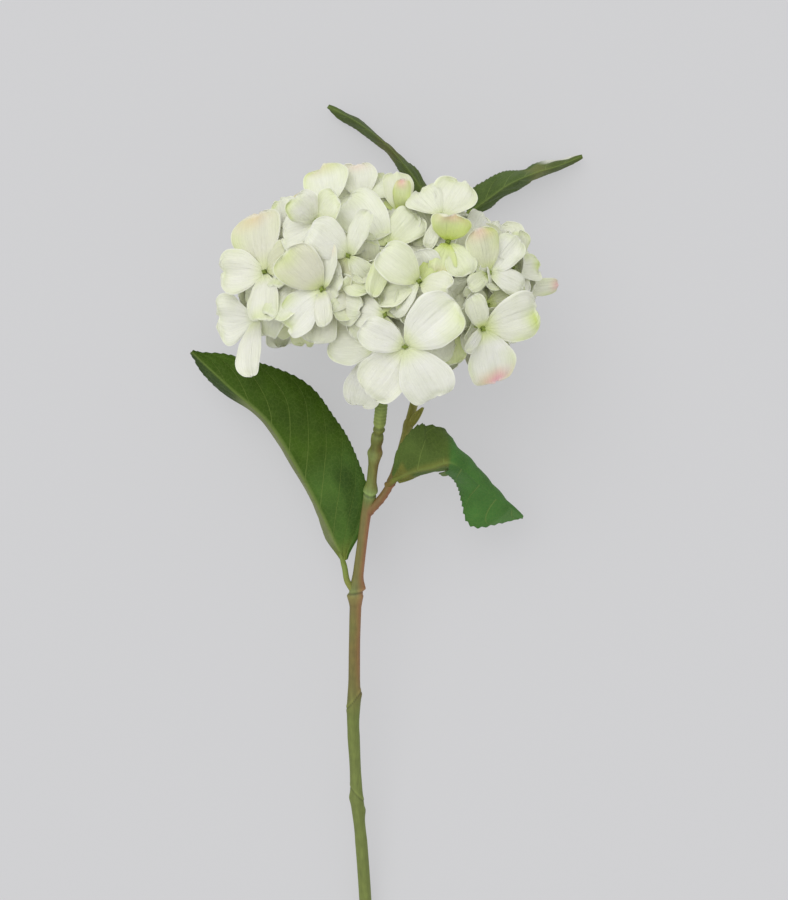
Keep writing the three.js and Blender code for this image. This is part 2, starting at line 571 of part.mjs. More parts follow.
// Florets behind, on the ellipsoid of the head, where no other floret is near
function behindFlorets(others) {
  const centre = vector(HEAD_CENTRE);
  const radii = vector(HEAD_RADII);
  const found = [];
  for (let i = 0; i < BEHIND_COUNT; i += 1) {
    const height = BEHIND_TOP - BEHIND_SPAN * i / BEHIND_COUNT;
    const ring = Math.sqrt(1 - height * height);
    const turn = i * GOLDEN_ANGLE;
    const onSphere = new THREE.Vector3(ring * Math.cos(turn), height, ring * Math.sin(turn));
    const place = onSphere.clone().multiply(radii).add(centre);
    const apart = [...others, ...found].every((floret) => floret.centre.distanceTo(place) > BEHIND_SPACING);
    if (onSphere.z < BEHIND_DEPTH && apart) {
      found.push({ centre: place, normal: onSphere.divide(radii), lowest: BEHIND_LOWEST,
        turn: 360 * noise(i + 40), size: spread(BEHIND_SIZE, i + 70),
        rise: [0, 1, 2, 3].map((k) => spread(BEHIND_RISE, i * 5 + k)) });
    }
  }
  return found;
}

// A thin stalk from the middle of the head to a floret, which ends in the small knob at its middle
function pedicelSolid(floret) {
  const foot = vector(HEAD_CENTRE).lerp(floret.centre, PEDICEL_START);
  const rise = floret.flat ? 0 : EYE_HEIGHT;
  const top = floret.centre.clone().addScaledVector(floret.normal.clone().normalize(), rise);
  return solidFrom(rod([foot, top], [PEDICEL_RADIUS, PEDICEL_RADIUS], PEDICEL_SIDES));
}

// The whole head, fused: core, neck, stalks, knobs and petals
function headSolid(seat, keepOff) {
  const core = new THREE.SphereGeometry(1, ...CORE_SIDES);
  core.scale(...CORE_RADII);
  core.translate(...HEAD_CENTRE);
  const neck = rod(NECK_LINE.map(vector), NECK_RADII, STEM_SIDES);
  const listed = [...frontFlorets(), ...restingFlorets()];
  const florets = [...listed, ...behindFlorets(listed)];
  const petalSolids = [];
  florets.forEach((floret, index) => {
    floret.index = index;
    setPetals(floret, petalSolids, keepOff);
  });
  const solids = [core, neck].map(solidFrom);
  florets.forEach((floret) => solids.push(pedicelSolid(floret), floretSolid(floret)));
  return joined(solids).subtract(seat).subtract(table());
}

function piece(name, solid, color, roughness) {
  const geometry = outerSkin(solid).toNonIndexed();
  geometry.computeVertexNormals();
  const mesh = new THREE.Mesh(geometry, new THREE.MeshStandardMaterial({ color, roughness, metalness: 0 }));
  mesh.name = name;
  return mesh;
}

const stemSeat = stemSolid(GAP);
const shootPoints = SHOOT_LINE.map(vector);
const leafPoints = Object.values(LEAVES).flatMap((leaf) => leafGrid(leaf).flat());
const keepOff = [...shootPoints, ...leafPoints];
const hydrangea = new THREE.Group();
hydrangea.add(piece('stem', stemSolid(), STEM_GREEN, 0.7));
for (const [name, leaf] of Object.entries(LEAVES)) {
  hydrangea.add(piece(name, leafSolid(leaf, stemSeat), leaf.colour, 0.6));
}
hydrangea.add(piece('flower_head', headSolid(stemSeat, keepOff), PETAL_WHITE, 0.75));

export default hydrangea;
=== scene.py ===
"""Looks of a cut hydrangea on a table: fine petals, veined leaves, a ringed stem and thin flower stalks.

Lengths are in millimetres until a piece becomes a mesh. The stem runs along Y with the head at the high end,
and the table is the plane z = 0. The camera looks straight down on it, with the head at the top.
"""

from collections import namedtuple

import bpy
import numpy as np
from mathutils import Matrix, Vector
from mathutils.bvhtree import BVHTree


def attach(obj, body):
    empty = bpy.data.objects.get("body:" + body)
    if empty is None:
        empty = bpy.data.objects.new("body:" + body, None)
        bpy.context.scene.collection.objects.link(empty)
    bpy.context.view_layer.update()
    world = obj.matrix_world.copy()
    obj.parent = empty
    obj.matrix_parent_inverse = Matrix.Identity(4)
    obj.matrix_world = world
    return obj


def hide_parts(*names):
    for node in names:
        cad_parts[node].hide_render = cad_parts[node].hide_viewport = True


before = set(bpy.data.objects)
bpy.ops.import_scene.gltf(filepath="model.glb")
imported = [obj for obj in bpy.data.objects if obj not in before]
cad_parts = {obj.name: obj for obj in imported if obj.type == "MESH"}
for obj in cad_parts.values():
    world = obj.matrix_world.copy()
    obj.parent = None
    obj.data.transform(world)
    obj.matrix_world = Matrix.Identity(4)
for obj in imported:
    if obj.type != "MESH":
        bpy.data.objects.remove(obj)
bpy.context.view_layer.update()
MM = 0.001

# A closed surface: points, corner numbers of its faces one after another, how many corners each face has, a
# place across and along for each point, and four painted values for each point that its material reads.
Shape = namedtuple("Shape", "points corners sizes places paint")

# Petals and head, as the frame has them. A spread is a least value and how much more there may be.
PETAL_LENGTH = 28.5
PETAL_HALF_WIDTH = 12.8
PETAL_OUTLINE = (0.8, 0.42)  # powers that round its foot and tip
PETAL_FOOT = 0.05  # share of its length from the middle of the floret to its foot
PETAL_STEP = 0.6  # how far every second petal of a floret stands above the others
PETAL_TILT = 0.1  # radians by which a petal starts steeper than it rises
PETAL_WAVE = 0.035  # height of its wave, as a share of its length
CLAW_END = 0.5  # up to here along a petal it stays in its own quarter of the floret
CLAW_SHARE = 0.78  # of the quarter's half width
TURN_SPREAD = 0.1  # radians by which petals stray from their quarters
LENGTH_SPREAD = (0.95, 0.1)
TIP_BEND_SPREAD = (0.25, 0.35)  # radians by which a tip bends down
CUP_SPREAD = (-0.018, 0.06)  # rise of the edges, as a share of the half width
TWIST_SPREAD = (-0.125, 0.25)  # radians at the tip
BENDS = (0, -8, 8, -16, 16, -24, 24)  # degrees by which a petal behind may bend clear of others
HEAD_CENTRE = np.array([0, 113, 58.0])
HEAD_RADII = np.array([60, 40, 44.0])  # to the centres of the florets
STEM_TOP = np.array([-2.2, 60.4, 48.0])
# Florets that lie flat on the table. Those behind: how many are tried, the height of the first on a sphere of
# radius 1 and how far down they go, how far forward they may lie, the least distance from any other floret,
# and the spreads of their size and of the degrees by which their petals rise
RESTING_FLORETS = [
    dict(at=(-40, 114), turn=40, size=0.95), dict(at=(50, 113), turn=45, size=0.9),
    dict(at=(-10, 138), turn=50, size=0.95),
]
BEHIND = dict(count=44, top=0.95, span=1.5, depth=0.12, spacing=24.5, size=(0.85, 0.12), rise=(4, 22))

# The florets that show: centre, the x and y of the way each faces, and its petals. Of each petal: how far
# its tip lies right and up of the centre as the camera sees it, its width as seen, whether it comes forward
# (1) or goes back (-1), and then its tints, if it has any: green at the margin, pink at the tip, green all
# over, the side from -1 to 1 that the margin's green lies on, and a pale brown painted shade all over. The
# last tints are left out where they are 0.
FRONT_FLORETS = [
    ((9, 84, 112), (0.02, -0.08), (23, 20, 24, 1, 0.45, 0, 0, -1), (-20, 9, 15, 1, 0.05),
     (-17, -22, 22, -1, 0.1), (15, -23.5, 24, -1, 0.05)),
    ((-29, 111, 99), (-0.42, -0.02), (2, 22, 11, 1, 0.1, 0.9, 0.1), (-17, 17, 21, 1, 0.6, 0, 0, 1, 0.7),
     (-18, -18, 18, -1, 0.7, 0, 0, -1), (1, -17, 8, 1)),
    ((-56, 120, 80), (-0.6, 0.02), (12, 8, 17, 1, 0.1, 0, 0.1, 0, 0.7),
     (-4, 28, 23, -1, 0.5, 0.35, 0, 0.5, 0.6), (-22, 1, 21, -1, 0.15), (-1, -23, 14, 1)),
    ((-61, 99, 66), (-0.6, -0.34), (13, -1, 12, -1), (-2, 13, 14, -1), (-19, 0, 25, -1, 0.15),
     (-3, -28, 10, 1)),
    ((-17, 126, 103), (-0.22, 0.25), (9, 21, 9, 1, 0.1, 0, 0.1), (-17, 13, 18, 1),
     (-5, -13, 13, -1, 0.1, 0, 0.1, 0, 0.8), (11, -12, 10, -1, 0.2, 0, 0.15)),
    ((1, 131, 97), (0, 0.25), (14, 16, 17, -1, 0.1, 0, 0.25), (-19, 23, 22, -1, 0.15, 0, 0.1),
     (-7, -23, 9, 1, 0.3, 0, 0.3), (13, -10, 11, -1, 0.2, 0, 0.2)),
    ((-32, 142, 95), (-0.35, 0.45), (9, 12, 14, 1, 0.2, 0, 0.25), (-10, 11, 16, 1, 0.6, 0, 0, 1),
     (-16, -6, 18, -1), (7, -7, 12, -1, 0.1, 0, 0.2)),
    ((-44, 140, 72), (-0.62, 0.5), (5, 19, 10, -1, 0.5, 0.7, 0.1), (-6, 15, 14, -1, 0.4, 0, 0, 0.5),
     (-13, 3, 12, -1), (2, -12, 17, -1, 0.3, 0, 0.1)),
    ((-26, 149, 84), (-0.28, 0.62), (10, 9, 14, -1, 0.2, 0, 0.2), (-3, 21, 22, -1, 0.8, 0.2, 0.08, 0.2),
     (-13, 8, 8, -1, 1, 0, 0.6), (2, -12, 14, -1)),
    ((-11, 153, 80), (-0.05, 0.72), (12, 12, 14, -1, 0.2, 0, 0.2), (-2.5, 18, 17, -1, 0.1, 0.3, 0.03, 0.7),
     (-12, 7, 11, -1, 0.15), (0, -11, 13, -1)),
    ((7, 147, 84), (0, 0.74), (9, 7, 9, -1, 0.1, 0, 0.3), (-2, 20, 14, -1, 0.2, 0, 0.15),
     (-10, 10, 7, -1, 0.9, 0, 0.7), (1, 15.5, 8, 1, 0.5, 0.8, 0.6)),
    ((26, 145, 92), (0.12, 0.55), (10, 17, 21, -1), (-10, 13, 19, -1, 0.1, 0, 0.15),
     (-7, -15, 6, 1, 0.05, 0, 0.1), (10, -10, 9, -1)),
    ((29, 133, 94), (0.1, 0.25), (9, -15, 14, 1, 0.2, 0, 0.3), (2, 11.5, 19, 1, 0.7, 0.5, 0.75, -0.8),
     (-13, -18, 8, 1, 0.6, 0, 0.8), (-4, -16, 13, 1, 0.6, 0.3, 0.55)),
    ((16, 114, 106), (-0.3, 0.4), (13, -3, 14, 1, 0.1, 0, 0.12), (-18, 14, 18, 1, 0.1, 0, 0.25),
     (-20, -4, 19, -1, 0.1, 0, 0.22), (-14, -13, 14, -1)),
    ((0, 99, 104), (-0.1, 0), (10, 5, 12, -1), (-1, 13, 13, -1, 0.2, 0, 0.2), (-15, 3, 15, -1),
     (0, -12, 14, -1)),
    ((45, 93, 95), (0.36, -0.2), (26, 9, 22, -1, 0.8, 0, 0.05, -1), (-5, 15, 10, 1, 0.1, 0, 0.2),
     (-7, -11, 5, 1), (5.5, -25, 22, -1, 0.5, 1)),
    ((47, 104, 86), (0.45, 0), (19, 8, 13, -1, 1, 0, 0.2, 1), (3, 11, 11, -1, 0.2, 0, 0.3),
     (-9, 9, 8, 1, 0.1, 0, 0.2), (-10, -7, 10, -1)),
    ((48, 119, 90), (0.35, 0.25), (14, 17, 14, -1), (-4, 20, 15, 1, 0.7, 0.5, 0.2, -0.5, 0.5),
     (-9, -7, 8, 1, 0.1, 0, 0.35), (17, -7, 11, -1)),
    ((59, 122, 72), (0.6, 0.3), (14, 1, 13, -1, 0.9, 0, 0.1, 1), (-5, 22, 15, -1), (5, 17, 9, 1),
     (4, -15, 13, -1)),
    ((64, 113, 56), (0.5, -0.2), (19, 2, 8, -1, 0.5, 0.8, 0.1, -0.3), (4, 10, 11, -1), (-10, -5, 11, -1),
     (2, -8, 12, -1)),
    ((-2, 87, 92), (-0.28, -0.3), (7, 10, 15, -1), (-11, 14, 17, -1), (-26, 2, 23, -1), (-4, -14, 16, -1)),
    ((-13, 105, 90), (-0.3, -0.1), (8, 12, 12, 1), (-6, 11, 13, 1, 0.2, 0, 0.2),
     (-11, -4, 12, 1, 0.2, 0, 0.2), (-1, -13, 15, -1)),
    ((-42, 100, 64), (-0.3, -0.6), (13, -1, 14, -1), (1, 11, 14, -1), (-12, -7, 12, -1, 0.2, 0, 0.3),
     (4, -14, 10, -1, 0.2, 0, 0.4)),
    ((29, 94, 82), (0.2, -0.5), (13, -1, 13, -1, 0.2, 0, 0.3), (6, 13, 14, -1, 0.2, 0, 0.3),
     (-14, -3, 13, -1), (4, -17, 12, -1, 0.5, 0, 0.5)),
    ((-5, 82, 68), (-0.1, -0.55), (12, 4, 14, -1), (-9, 9, 14, -1), (-8, -25, 18, -1, 0), (7, -8, 14, -1)),
    ((40, 136, 80), (0.45, 0.5), (12, 0, 14, -1), (6, 12, 12, -1), (-10, 5, 13, -1), (3, -11, 13, -1)),
]
# How petals are posed by where their tips are seen
FORWARD = np.radians(20)  # angle to the picture at which a petal stands where its reach allows it
PETAL_REACH = (17.5, 34)  # least and most distance from the middle of a floret to a tip
LEAST_REACH = 1.015  # share of the seen distance that the real one is at least
PETAL_CHORD = 1.04  # that distance as a share of the petal's length
LEAST_SEEN = 0.35  # share of a petal's width that shows at least
FULLNESS = 1.06  # a petal's width, as a share of the listed one

# Petals as the scene refines them
FULL_OUTLINE = (0.48, 0.28)  # powers that round its foot and tip
CLAW_SLOPE = 1.2  # how fast its half width grows from its foot
PETAL_SPAN = (-0.045, 0.998)  # places along it of its first and last row
CROWDING = (1.9, 1.4)  # powers by which its rows and columns crowd towards its edge
PETAL_GRIDS = dict(front=(20, 15), behind=(12, 9), resting=(12, 9), inner=(10, 8))  # rows and columns
PETAL_THICKNESS = 0.3
FOLDS = ((0.62, 4.6, 1.5), (0.3, 9, -2.5), (0.12, 19, 4))  # height, and radians across and along, of each
RUFFLE_HEIGHT = 0.6
ROLL_SPREAD = (0.25, 0.8)  # by which its rim rolls down
BOWL_SPREAD = (-0.06, 0.2)  # rise of its edges, as a share of the half width
PETAL_TINTS = 4  # tints that a list of them fills up with zeros
FOUND = 1.2  # a petal of the frame is there where its solid is nearer than this
RESTING_HEIGHT = 0.4  # of the petals that lie flat on the table
LOWEST = 0.02  # no point lies lower over the table
SHARP_ANGLE = 1.0  # radians from which an edge looks sharp

# Florets between the others and the core: how many, where they end behind and towards the stem, and their
# ellipsoid as a share of the head's
INNER = dict(count=84, lowest=-0.45, slant=0.25, share=np.array([0.9, 0.8, 0.78]), size=(0.74, 0.16),
             rise=(12, 26), first_index=200)
CORE_RADII = np.array([28, 17, 21.0])
CORE_GRID = (30, 48)  # rings, and points round each
CORE_BUDS = (0.14, 8, 13)  # their height as a share of the radius, and radians round the core and along X
CORE_GREEN = (172, 184, 118)
STALK_GRID = (16, 8)
STALK_FOOT = np.array([1.0, 10, 2.5])  # least reach of its foot from the stem's top
STALK_END = dict(resting=4, other=16)  # how far under a floret it turns square to it
STALK_RADIUS = (1.25, 0.55)  # at its foot, and how much thinner it becomes
STALK_GREENS = ((150, 168, 84), (186, 200, 126))  # from its foot to the floret
# Rings of a floret's eye: radius and height
EYE_RINGS = np.array([(0.9, -0.8), (1.3, 0.2), (1.5, 0.9), (1.35, 1.5), (0.95, 1.9), (0.35, 2.05)])
EYE_SIZE = 0.8  # of a front floret, as a share of those rings
EYE_SIDES = 16
EYE_GREEN = (112, 128, 46)

# Leaves: stalk, midrib, and for the left and right half at even stations along the midrib how wide it is and
# the degrees at which it leaves the horizontal; curl and wave of the blade, and a curl of its own for a left
# half that is rolled under; how many teeth, and how deep on each side; side veins and how far they lean
# forward; where the midrib stops showing; green of the upper side; and patches of another tone, each with its
# strength, from where to where along the midrib (0 to 1) and across (-1 at the left margin to 1 at the
# right), and how soft their ends are along the midrib.
BACK_LEAF = dict(stalk_tones=((118, 134, 62), (118, 134, 62)), curl=-6, wave=0.04, tooth=(0.7, 0.7), veins=6,
                 lean=0.15)
LEAVES = dict(
    leaf_left=dict(
        stalk=[(-15.2, -31.2, 33.6), (-18.4, -26.5, 34), (-19.8, -19.5, 34.3), (-21.8, -13, 34.8)],
        stalk_tones=((142, 144, 74), (125, 140, 70)),
        midrib=[(-20, -17.2, 34.5), (-28.2, 0.5, 35), (-39.6, 22.2, 33), (-57.3, 50.2, 29), (-75.2, 66.5, 26),
                (-94.2, 84.4, 24)],
        left=([2, 12, 18, 22, 24, 25, 24, 20, 15, 9, 1],
              [-60, -60, -72, -78, -76, -76, -76, -74, -61, -46, -30]),
        right=([2, 17.5, 25.5, 28, 29.3, 28.5, 27.8, 23, 18, 11, 1],
               [25, 22, 18, 16, 14, 14, 10, 8, 4, 0, -6]),
        curl=-28, wave=0.03, teeth=40, tooth=(1.6, 0.5), veins=8.3, lean=0.31, green=(62, 88, 20), patches=[
            # The second patch is painted shade along a groove near the foot of the right half.
            ((76, 108, 46), 0.6, -0.1, 0.36, 0.05, 1.1), ((42, 66, 16), 0.6, 0.06, 0.34, 0.5, 0.8),
            ((62, 80, 44), 0.9, 0.76, 1.1, -1.1, -0.04), ((126, 134, 88), 0.95, 0.05, 0.74, -1.1, -0.02),
            ((132, 140, 62), 0.9, -0.1, 0.035, -0.7, 0.7)]),
    leaf_right=dict(
        stalk=[(0.8, 19.6, 40.4), (2.6, 21, 42.2), (4.5, 22.5, 43.8), (8.5, 24.2, 45.6)],
        stalk_tones=((124, 100, 56), (112, 120, 54)),
        midrib=[(4.5, 22.5, 44), (13, 26, 50), (22, 28, 54), (31, 30.3, 56), (46, 19, 46), (57, 10, 34),
                (66.5, 4, 22)],
        left=([3.5, 13.2, 21.5, 21.5, 22, 18, 16, 12.5, 10, 5.5, 1.5],
              [20, 19, 12, -12, -25, -25, -25, -25, -25, -30, -40]),
        right=([3.5, 9, 13, 16, 18, 18, 18, 19, 20.5, 10.5, 1],
               [-40, -65, -76, -65, -57, -61, -58, -41, -21, -20, -20]),
        rolled=[-14, -14, -14, -25, -100, -100, -100, -100, -100, -80, -60], rib_end=0.32, soft=0.03,
        curl=-14, wave=0.03, teeth=34, tooth=(0.9, 1.3), veins=6.5, lean=0.12, green=(74, 118, 54), patches=[
            ((84, 104, 46), 1, -0.1, 0.345, -1.1, 1.1), ((116, 120, 56), 0.8, 0.05, 0.34, -0.1, 0.16),
            ((116, 116, 52), 0.85, -0.1, 0.1, -0.5, 1.1), ((100, 138, 80), 0.5, 0.86, 1.1, -0.1, 1.1),
            ((112, 104, 66), 0.5, 0.42, 1.1, -1.1, -0.75)]),
    leaf_back_left=dict(
        BACK_LEAF,
        stalk=[(32, 139.5, 7.6), (30.6, 145, 7.8), (27.8, 151, 8.6), (24, 157, 10.5), (20.8, 160.3, 12.2)],
        midrib=[(24, 157, 10.5), (17.2, 164, 14), (9.5, 174.3, 18), (-1, 185.7, 18.2), (-13.5, 195.7, 13.5),
                (-28.5, 204.5, 6)],
        left=([3, 8, 11, 13, 14, 14.5, 14, 13, 11, 8, 1],
              [-45, -48, -66, -72, -78, -80, -77, -75, -73, -66, -50]),
        right=([3, 8, 11, 13, 14, 14.5, 14, 13, 11, 8, 1],
               [-45, -62, -64, -75, -79, -81, -84, -81, -74, -76, -50]),
        teeth=26, green=(81, 97, 50), patches=[
            ((100, 100, 44), 0.7, 0.38, 0.58, -1.1, 1.1), ((92, 98, 52), 0.5, -0.1, 0.12, -1.1, 1.1)]),
    leaf_back_right=dict(
        BACK_LEAF,
        stalk=[(36, 139, 7.5), (36.8, 143.6, 7.6), (38, 147.8, 8.3), (40, 151.5, 9.5), (43, 153.6, 11.6)],
        midrib=[(40, 151.5, 9.5), (46.8, 156.2, 14), (60, 165.3, 19.5), (72.5, 170.8, 18.5),
                (84.4, 174.8, 12.5), (96.2, 180.1, 6)],
        left=([3, 10.5, 13, 15, 16, 16, 15, 13.5, 11, 7.5, 1],
              [-30, -29, -44, -54, -60, -67, -71, -64, -59, -65, -45]),
        right=([3, 10.5, 13, 15, 16, 16, 15, 13.5, 11, 7.5, 1],
               [-60, -67, -74, -73, -73, -75, -77, -79, -80, -78, -55]),
        teeth=28, green=(78, 97, 48), patches=[
            ((130, 130, 72), 0.5, 0.56, 0.72, -0.7, 1.1), ((226, 226, 214), 0.95, 0.74, 1.1, -1.1, -0.5),
            ((100, 108, 56), 0.4, 0.72, 1.1, -0.5, 1.1)]),
)
LEAF_SPAN = (0.004, 0.996)  # where along the midrib a blade starts and ends
LEAF_WAVE_TURN = 14  # radians that the wave of a leaf's margin turns from foot to tip
TOOTH_ROWS = 8  # rows of points for each tooth
TOOTH_RISE = 0.7  # share of a tooth over which it stands out further and further
VEIN_WIDTHS = (0.62, 0.3)  # distance at which a side vein fades out, at the midrib and at the margin
NET_STEP = 2  # between the cells of a blade's netting
LEAF_COLUMNS = 33
LEAF_STALK_GRID = (24, 14)
VEIN_CURVE = 0.05  # how far side veins bend forward towards the margin, as a share of the midrib
VEIN_STEP = 0.25  # share of their gap by which the veins of the two halves are staggered
LEAF_PALE = (122, 134, 84)  # mixed into the tones of the lower side

# Stem and side shoot, from the cut end to the head and from the stem to the leaves behind it
STEM_LINE = [
    (-9.1, -206.8, 3.2), (-10, -182.8, 8), (-12, -153, 13), (-13.9, -133.3, 16.5), (-14.9, -113.6, 20),
    (-15.7, -93.9, 23.5), (-15.3, -84.2, 25), (-15, -55, 29.5), (-14.4, -35.6, 32.5), (-14, -29.8, 33.5),
    (-11.8, -11.4, 36.5), (-9.1, 7.8, 39), (-7.5, 15, 40.5), (-6.2, 27, 42.5), (-4.1, 41.4, 45),
    (-3.3, 46.1, 46), (-1.8, 60.4, 48), (-1, 74, 51), (0, 88, 54),
]
SHOOT_LINE = [
    (-8.6, 6.5, 39), (-1.5, 14.2, 41), (3, 22, 39.4), (6.9, 34.2, 34), (9.3, 42.8, 29), (14.2, 61.3, 20),
    (19.1, 85.2, 12), (25, 109.7, 8), (29.9, 126.8, 7), (33.8, 141.4, 7.5),
]
STEM_GRID = (0.35, 28)  # step between its rings, and points round each
SHOOT_GRID = (0.4, 20)
# Radius at places along y
STEM_PROFILE = [
    (-206.8, 2.95), (-153, 2.95), (-149, 2.8), (-145, 2.8), (-140, 2.95), (-136, 3.15), (-133.5, 3.35),
    (-129.5, 3.0), (-125, 2.9), (-119, 2.72), (-113, 2.75), (-106, 2.92), (-102, 3.0), (-98, 2.9),
    (-94, 3.0), (-90, 3.15), (-84.4, 3.3), (-80.5, 3.15), (-78, 2.98), (-74, 2.82), (-55, 2.72), (-45, 2.8),
    (-39, 2.82), (-36, 3.2), (-33.5, 3.6), (-32.4, 3.2), (-31, 3.3), (-27, 3.0), (-23, 2.6), (-14, 2.45),
    (0, 2.35), (8, 2.5), (12.8, 2.95), (15.4, 3.05), (16.1, 2.7), (16.7, 3.2), (17.4, 3.4), (18.3, 3.3),
    (21.3, 2.45), (24, 2.35), (28, 2.4), (29.7, 2.45), (31.6, 2.75), (33.5, 3.15), (34.4, 3.4),
    (35.4, 3.45), (36.4, 3.25), (37.3, 2.85), (38.3, 2.65), (39.2, 2.6), (40.2, 2.8), (41.1, 3.0),
    (42.1, 3.05), (43, 2.9), (44, 2.7), (44.8, 2.2), (45.3, 2.25), (45.9, 2.6), (46.9, 2.75), (47.5, 2.4),
    (48, 2.4), (48.8, 2.65), (49.7, 2.95), (58.3, 2.95), (60.6, 2.5), (64, 2.9), (74, 3.4), (88, 4),
]
SHOOT_PROFILE = [
    (6.5, 2.2), (14, 1.9), (19, 1.8), (21.5, 2.3), (25, 2.0), (30, 1.9), (45, 2.0), (48, 2.5), (50, 2.5),
    (51, 2.0), (70, 2.0), (100, 2.0), (120, 2.1), (134, 2.1), (138, 2.8), (141.4, 2.2),
]
STEM_RINGS = dict(start=49.7, end=59.7, count=6, height=0.09)
# Between these places along y, what runs round the stem comes to bow down in front, by so much
STEM_BOW = (10, 14, 1.2)
SCALE_STEP = 2.6  # between the scales along the shoot's foot
SCALE_HEIGHT = 0.35
# Edges of sheaths that run aslant round the stem, each with a painted shade in its groove and a painted
# highlight on its lip: place along y on its left, on its right, and how marked
STEM_EDGES = [
    (-126.5, -134, 0.8), (-88.5, -80, 1), (-32.8, -31.2, 1), (15.6, 15.6, 1.1), (44.9, 44.9, 0.5),
    (47.7, 47.7, 0.5),
]
# Bumps on the stem: place along y, side in degrees from the right, height, and how far they fade down and up
STEM_BUMPS = [
    (-131.5, 180, 0.6, 2, 2.5), (-138.5, 0, 0.7, 3, 2), (-89, 180, 0.35, 1.5, 3), (-80.8, 0, 0.7, 2.5, 1.5),
    (-33, 180, 0.9, 3.5, 0.8), (-29.6, 0, 1.1, 0.9, 3), (35.4, 180, 0.3, 1.5, 1), (36, 0, 0.2, 2, 2),
    (43.6, 180, 0.3, 0.9, 0.7), (46.6, 0, 0.25, 0.6, 0.6), (15.5, 180, 0.3, 2, 2),
]
# Screen colours at places along y
STEM_COLOURS = [
    (-206, (132, 114, 56)), (-198, (112, 124, 58)), (-134, (114, 126, 62)), (-92, (112, 124, 58)),
    (-80, (114, 112, 56)), (-60, (118, 106, 54)), (-48, (116, 114, 56)), (-38, (124, 112, 60)),
    (-34, (140, 132, 72)), (-31.6, (116, 126, 70)), (-24, (116, 112, 58)), (8, (120, 110, 60)),
    (13, (112, 124, 62)), (16.5, (128, 150, 84)), (20, (112, 124, 58)), (31, (112, 116, 52)),
    (34, (126, 138, 72)), (36, (120, 131, 66)), (38, (100, 104, 42)), (42, (108, 114, 48)),
    (44, (122, 132, 66)), (46, (104, 108, 44)), (49, (138, 153, 76)), (59, (138, 157, 80)),
    (64, (140, 160, 80)), (88, (150, 168, 90)),
]
SHOOT_COLOURS = [
    (6, (124, 96, 56)), (20, (122, 100, 54)), (26, (124, 116, 56)), (44, (150, 147, 70)),
    (50, (140, 134, 58)), (60, (152, 152, 76)), (141, (120, 126, 66)),
]
WARM_RED = (172, 106, 76)
# How strong that red is on the right side at places along y
STEM_WARMTH = [
    (-206, 0.2), (-195, 0), (-84, 0), (-70, 0.45), (-40, 0.6), (-30, 0.65), (-20, 0.75), (8, 0.8),
    (12, 0.3), (16, 0), (22, 0.2), (33, 0.35), (40, 0.3), (44, 0), (88, 0),
]
SHOOT_WARMTH = [(6, 0.7), (22, 0.5), (28, 0.2), (40, 0), (141, 0)]
BRACT_GRID = (13, 9)
BRACT_THICKNESS = 0.7
BRACT_GREEN = (150, 148, 66)
# The small leaf on the shoot: three rows of three points from its foot to its tip
BRACT = np.array([
    [(10.6, 49, 28), (12, 48.6, 28), (13.4, 48, 28)],
    [(12.8, 53, 27.6), (14.6, 52.6, 26.6), (16.2, 52, 27.2)],
    [(17.6, 57, 28.4), (18, 57, 28.2), (18.4, 57, 28.4)],
])

# Table, light and camera, in metres
TABLE_REACH = 2
TABLE_LEVEL = -0.0002
LAMP_FROM = (-0.35, 0.45, 1)
LAMP_STRENGTH = 1.15
LAMP_ANGLE = 0.9  # radians across, so that its shadows are soft
CAMERA_PLACE = (0.004, 0.0366, 1.836)
LENS_LENGTH = 150  # millimetres, as the sensor's width is
SENSOR_WIDTH = 36


def screen(red, green, blue):
    """Linear colour of a screen colour given from 0 to 255, by the sRGB curve."""
    value = np.array([red, green, blue]) / 255
    return np.where(value < 0.04045, value / 12.92, ((value + 0.055) / 1.055) ** 2.4)


def noise(index):
    """A repeatable number from 0 to 1: what follows the point in a large multiple of the index's sine."""
    value = np.sin(np.asarray(index) * 12.9898) * 43758.5453
    return value - np.floor(value)


def spread(limits, index):
    """A repeatable number from the first limit up to so much more as the second says."""
    return limits[0] + limits[1] * noise(index)


def ease(value, start, end):
    """0 below start and 1 above end, with a smooth cubic step between them."""
    share = np.clip((value - start) / (end - start), 0, 1)
    return share * share * (3 - 2 * share)


def unit(vectors):
    """The vectors at length 1."""
    return vectors / np.maximum(np.linalg.norm(vectors, axis=-1, keepdims=True), 1e-9)


def outline(t, powers):
    """Half width at t from foot to tip as a share of the widest: a power of t times a power of 1 - t."""
    foot, tip = powers
    widest = foot / (foot + tip)
    return (t / widest) ** foot * ((1 - t) / (1 - widest)) ** tip


def paint_of(colour, last=1.0):
    """Colours with a fourth painted value."""
    colour = np.asarray(colour)
    return np.concatenate([colour, np.full((*colour.shape[:-1], 1), last)], -1)


def round_turns(sides):
    """Evenly spaced turns round a ring, in radians."""
    return np.arange(sides) * 2 * np.pi / sides


def along(values, t):
    """A value at t from 0 to 1 along evenly spaced ones: cubics whose end slopes come from the neighbours."""
    values = np.asarray(values, float)
    place = t * (len(values) - 1)
    k = np.minimum(place.astype(int), len(values) - 2)
    u = place - k
    start, end = values[k], values[k + 1]
    leave = (end - values[np.maximum(k - 1, 0)]) / 2
    arrive = (values[np.minimum(k + 2, len(values) - 1)] - start) / 2
    return start + (end - start) * u * u * (3 - 2 * u) + leave * u * (1 - u) ** 2 - arrive * (1 - u) * u ** 2


def within(value, low, high, soft):
    """1 between low and high and 0 outside, with a smooth step of the width soft at each end."""
    return ease(value, low - soft / 2, low + soft / 2) * (1 - ease(value, high - soft / 2, high + soft / 2))


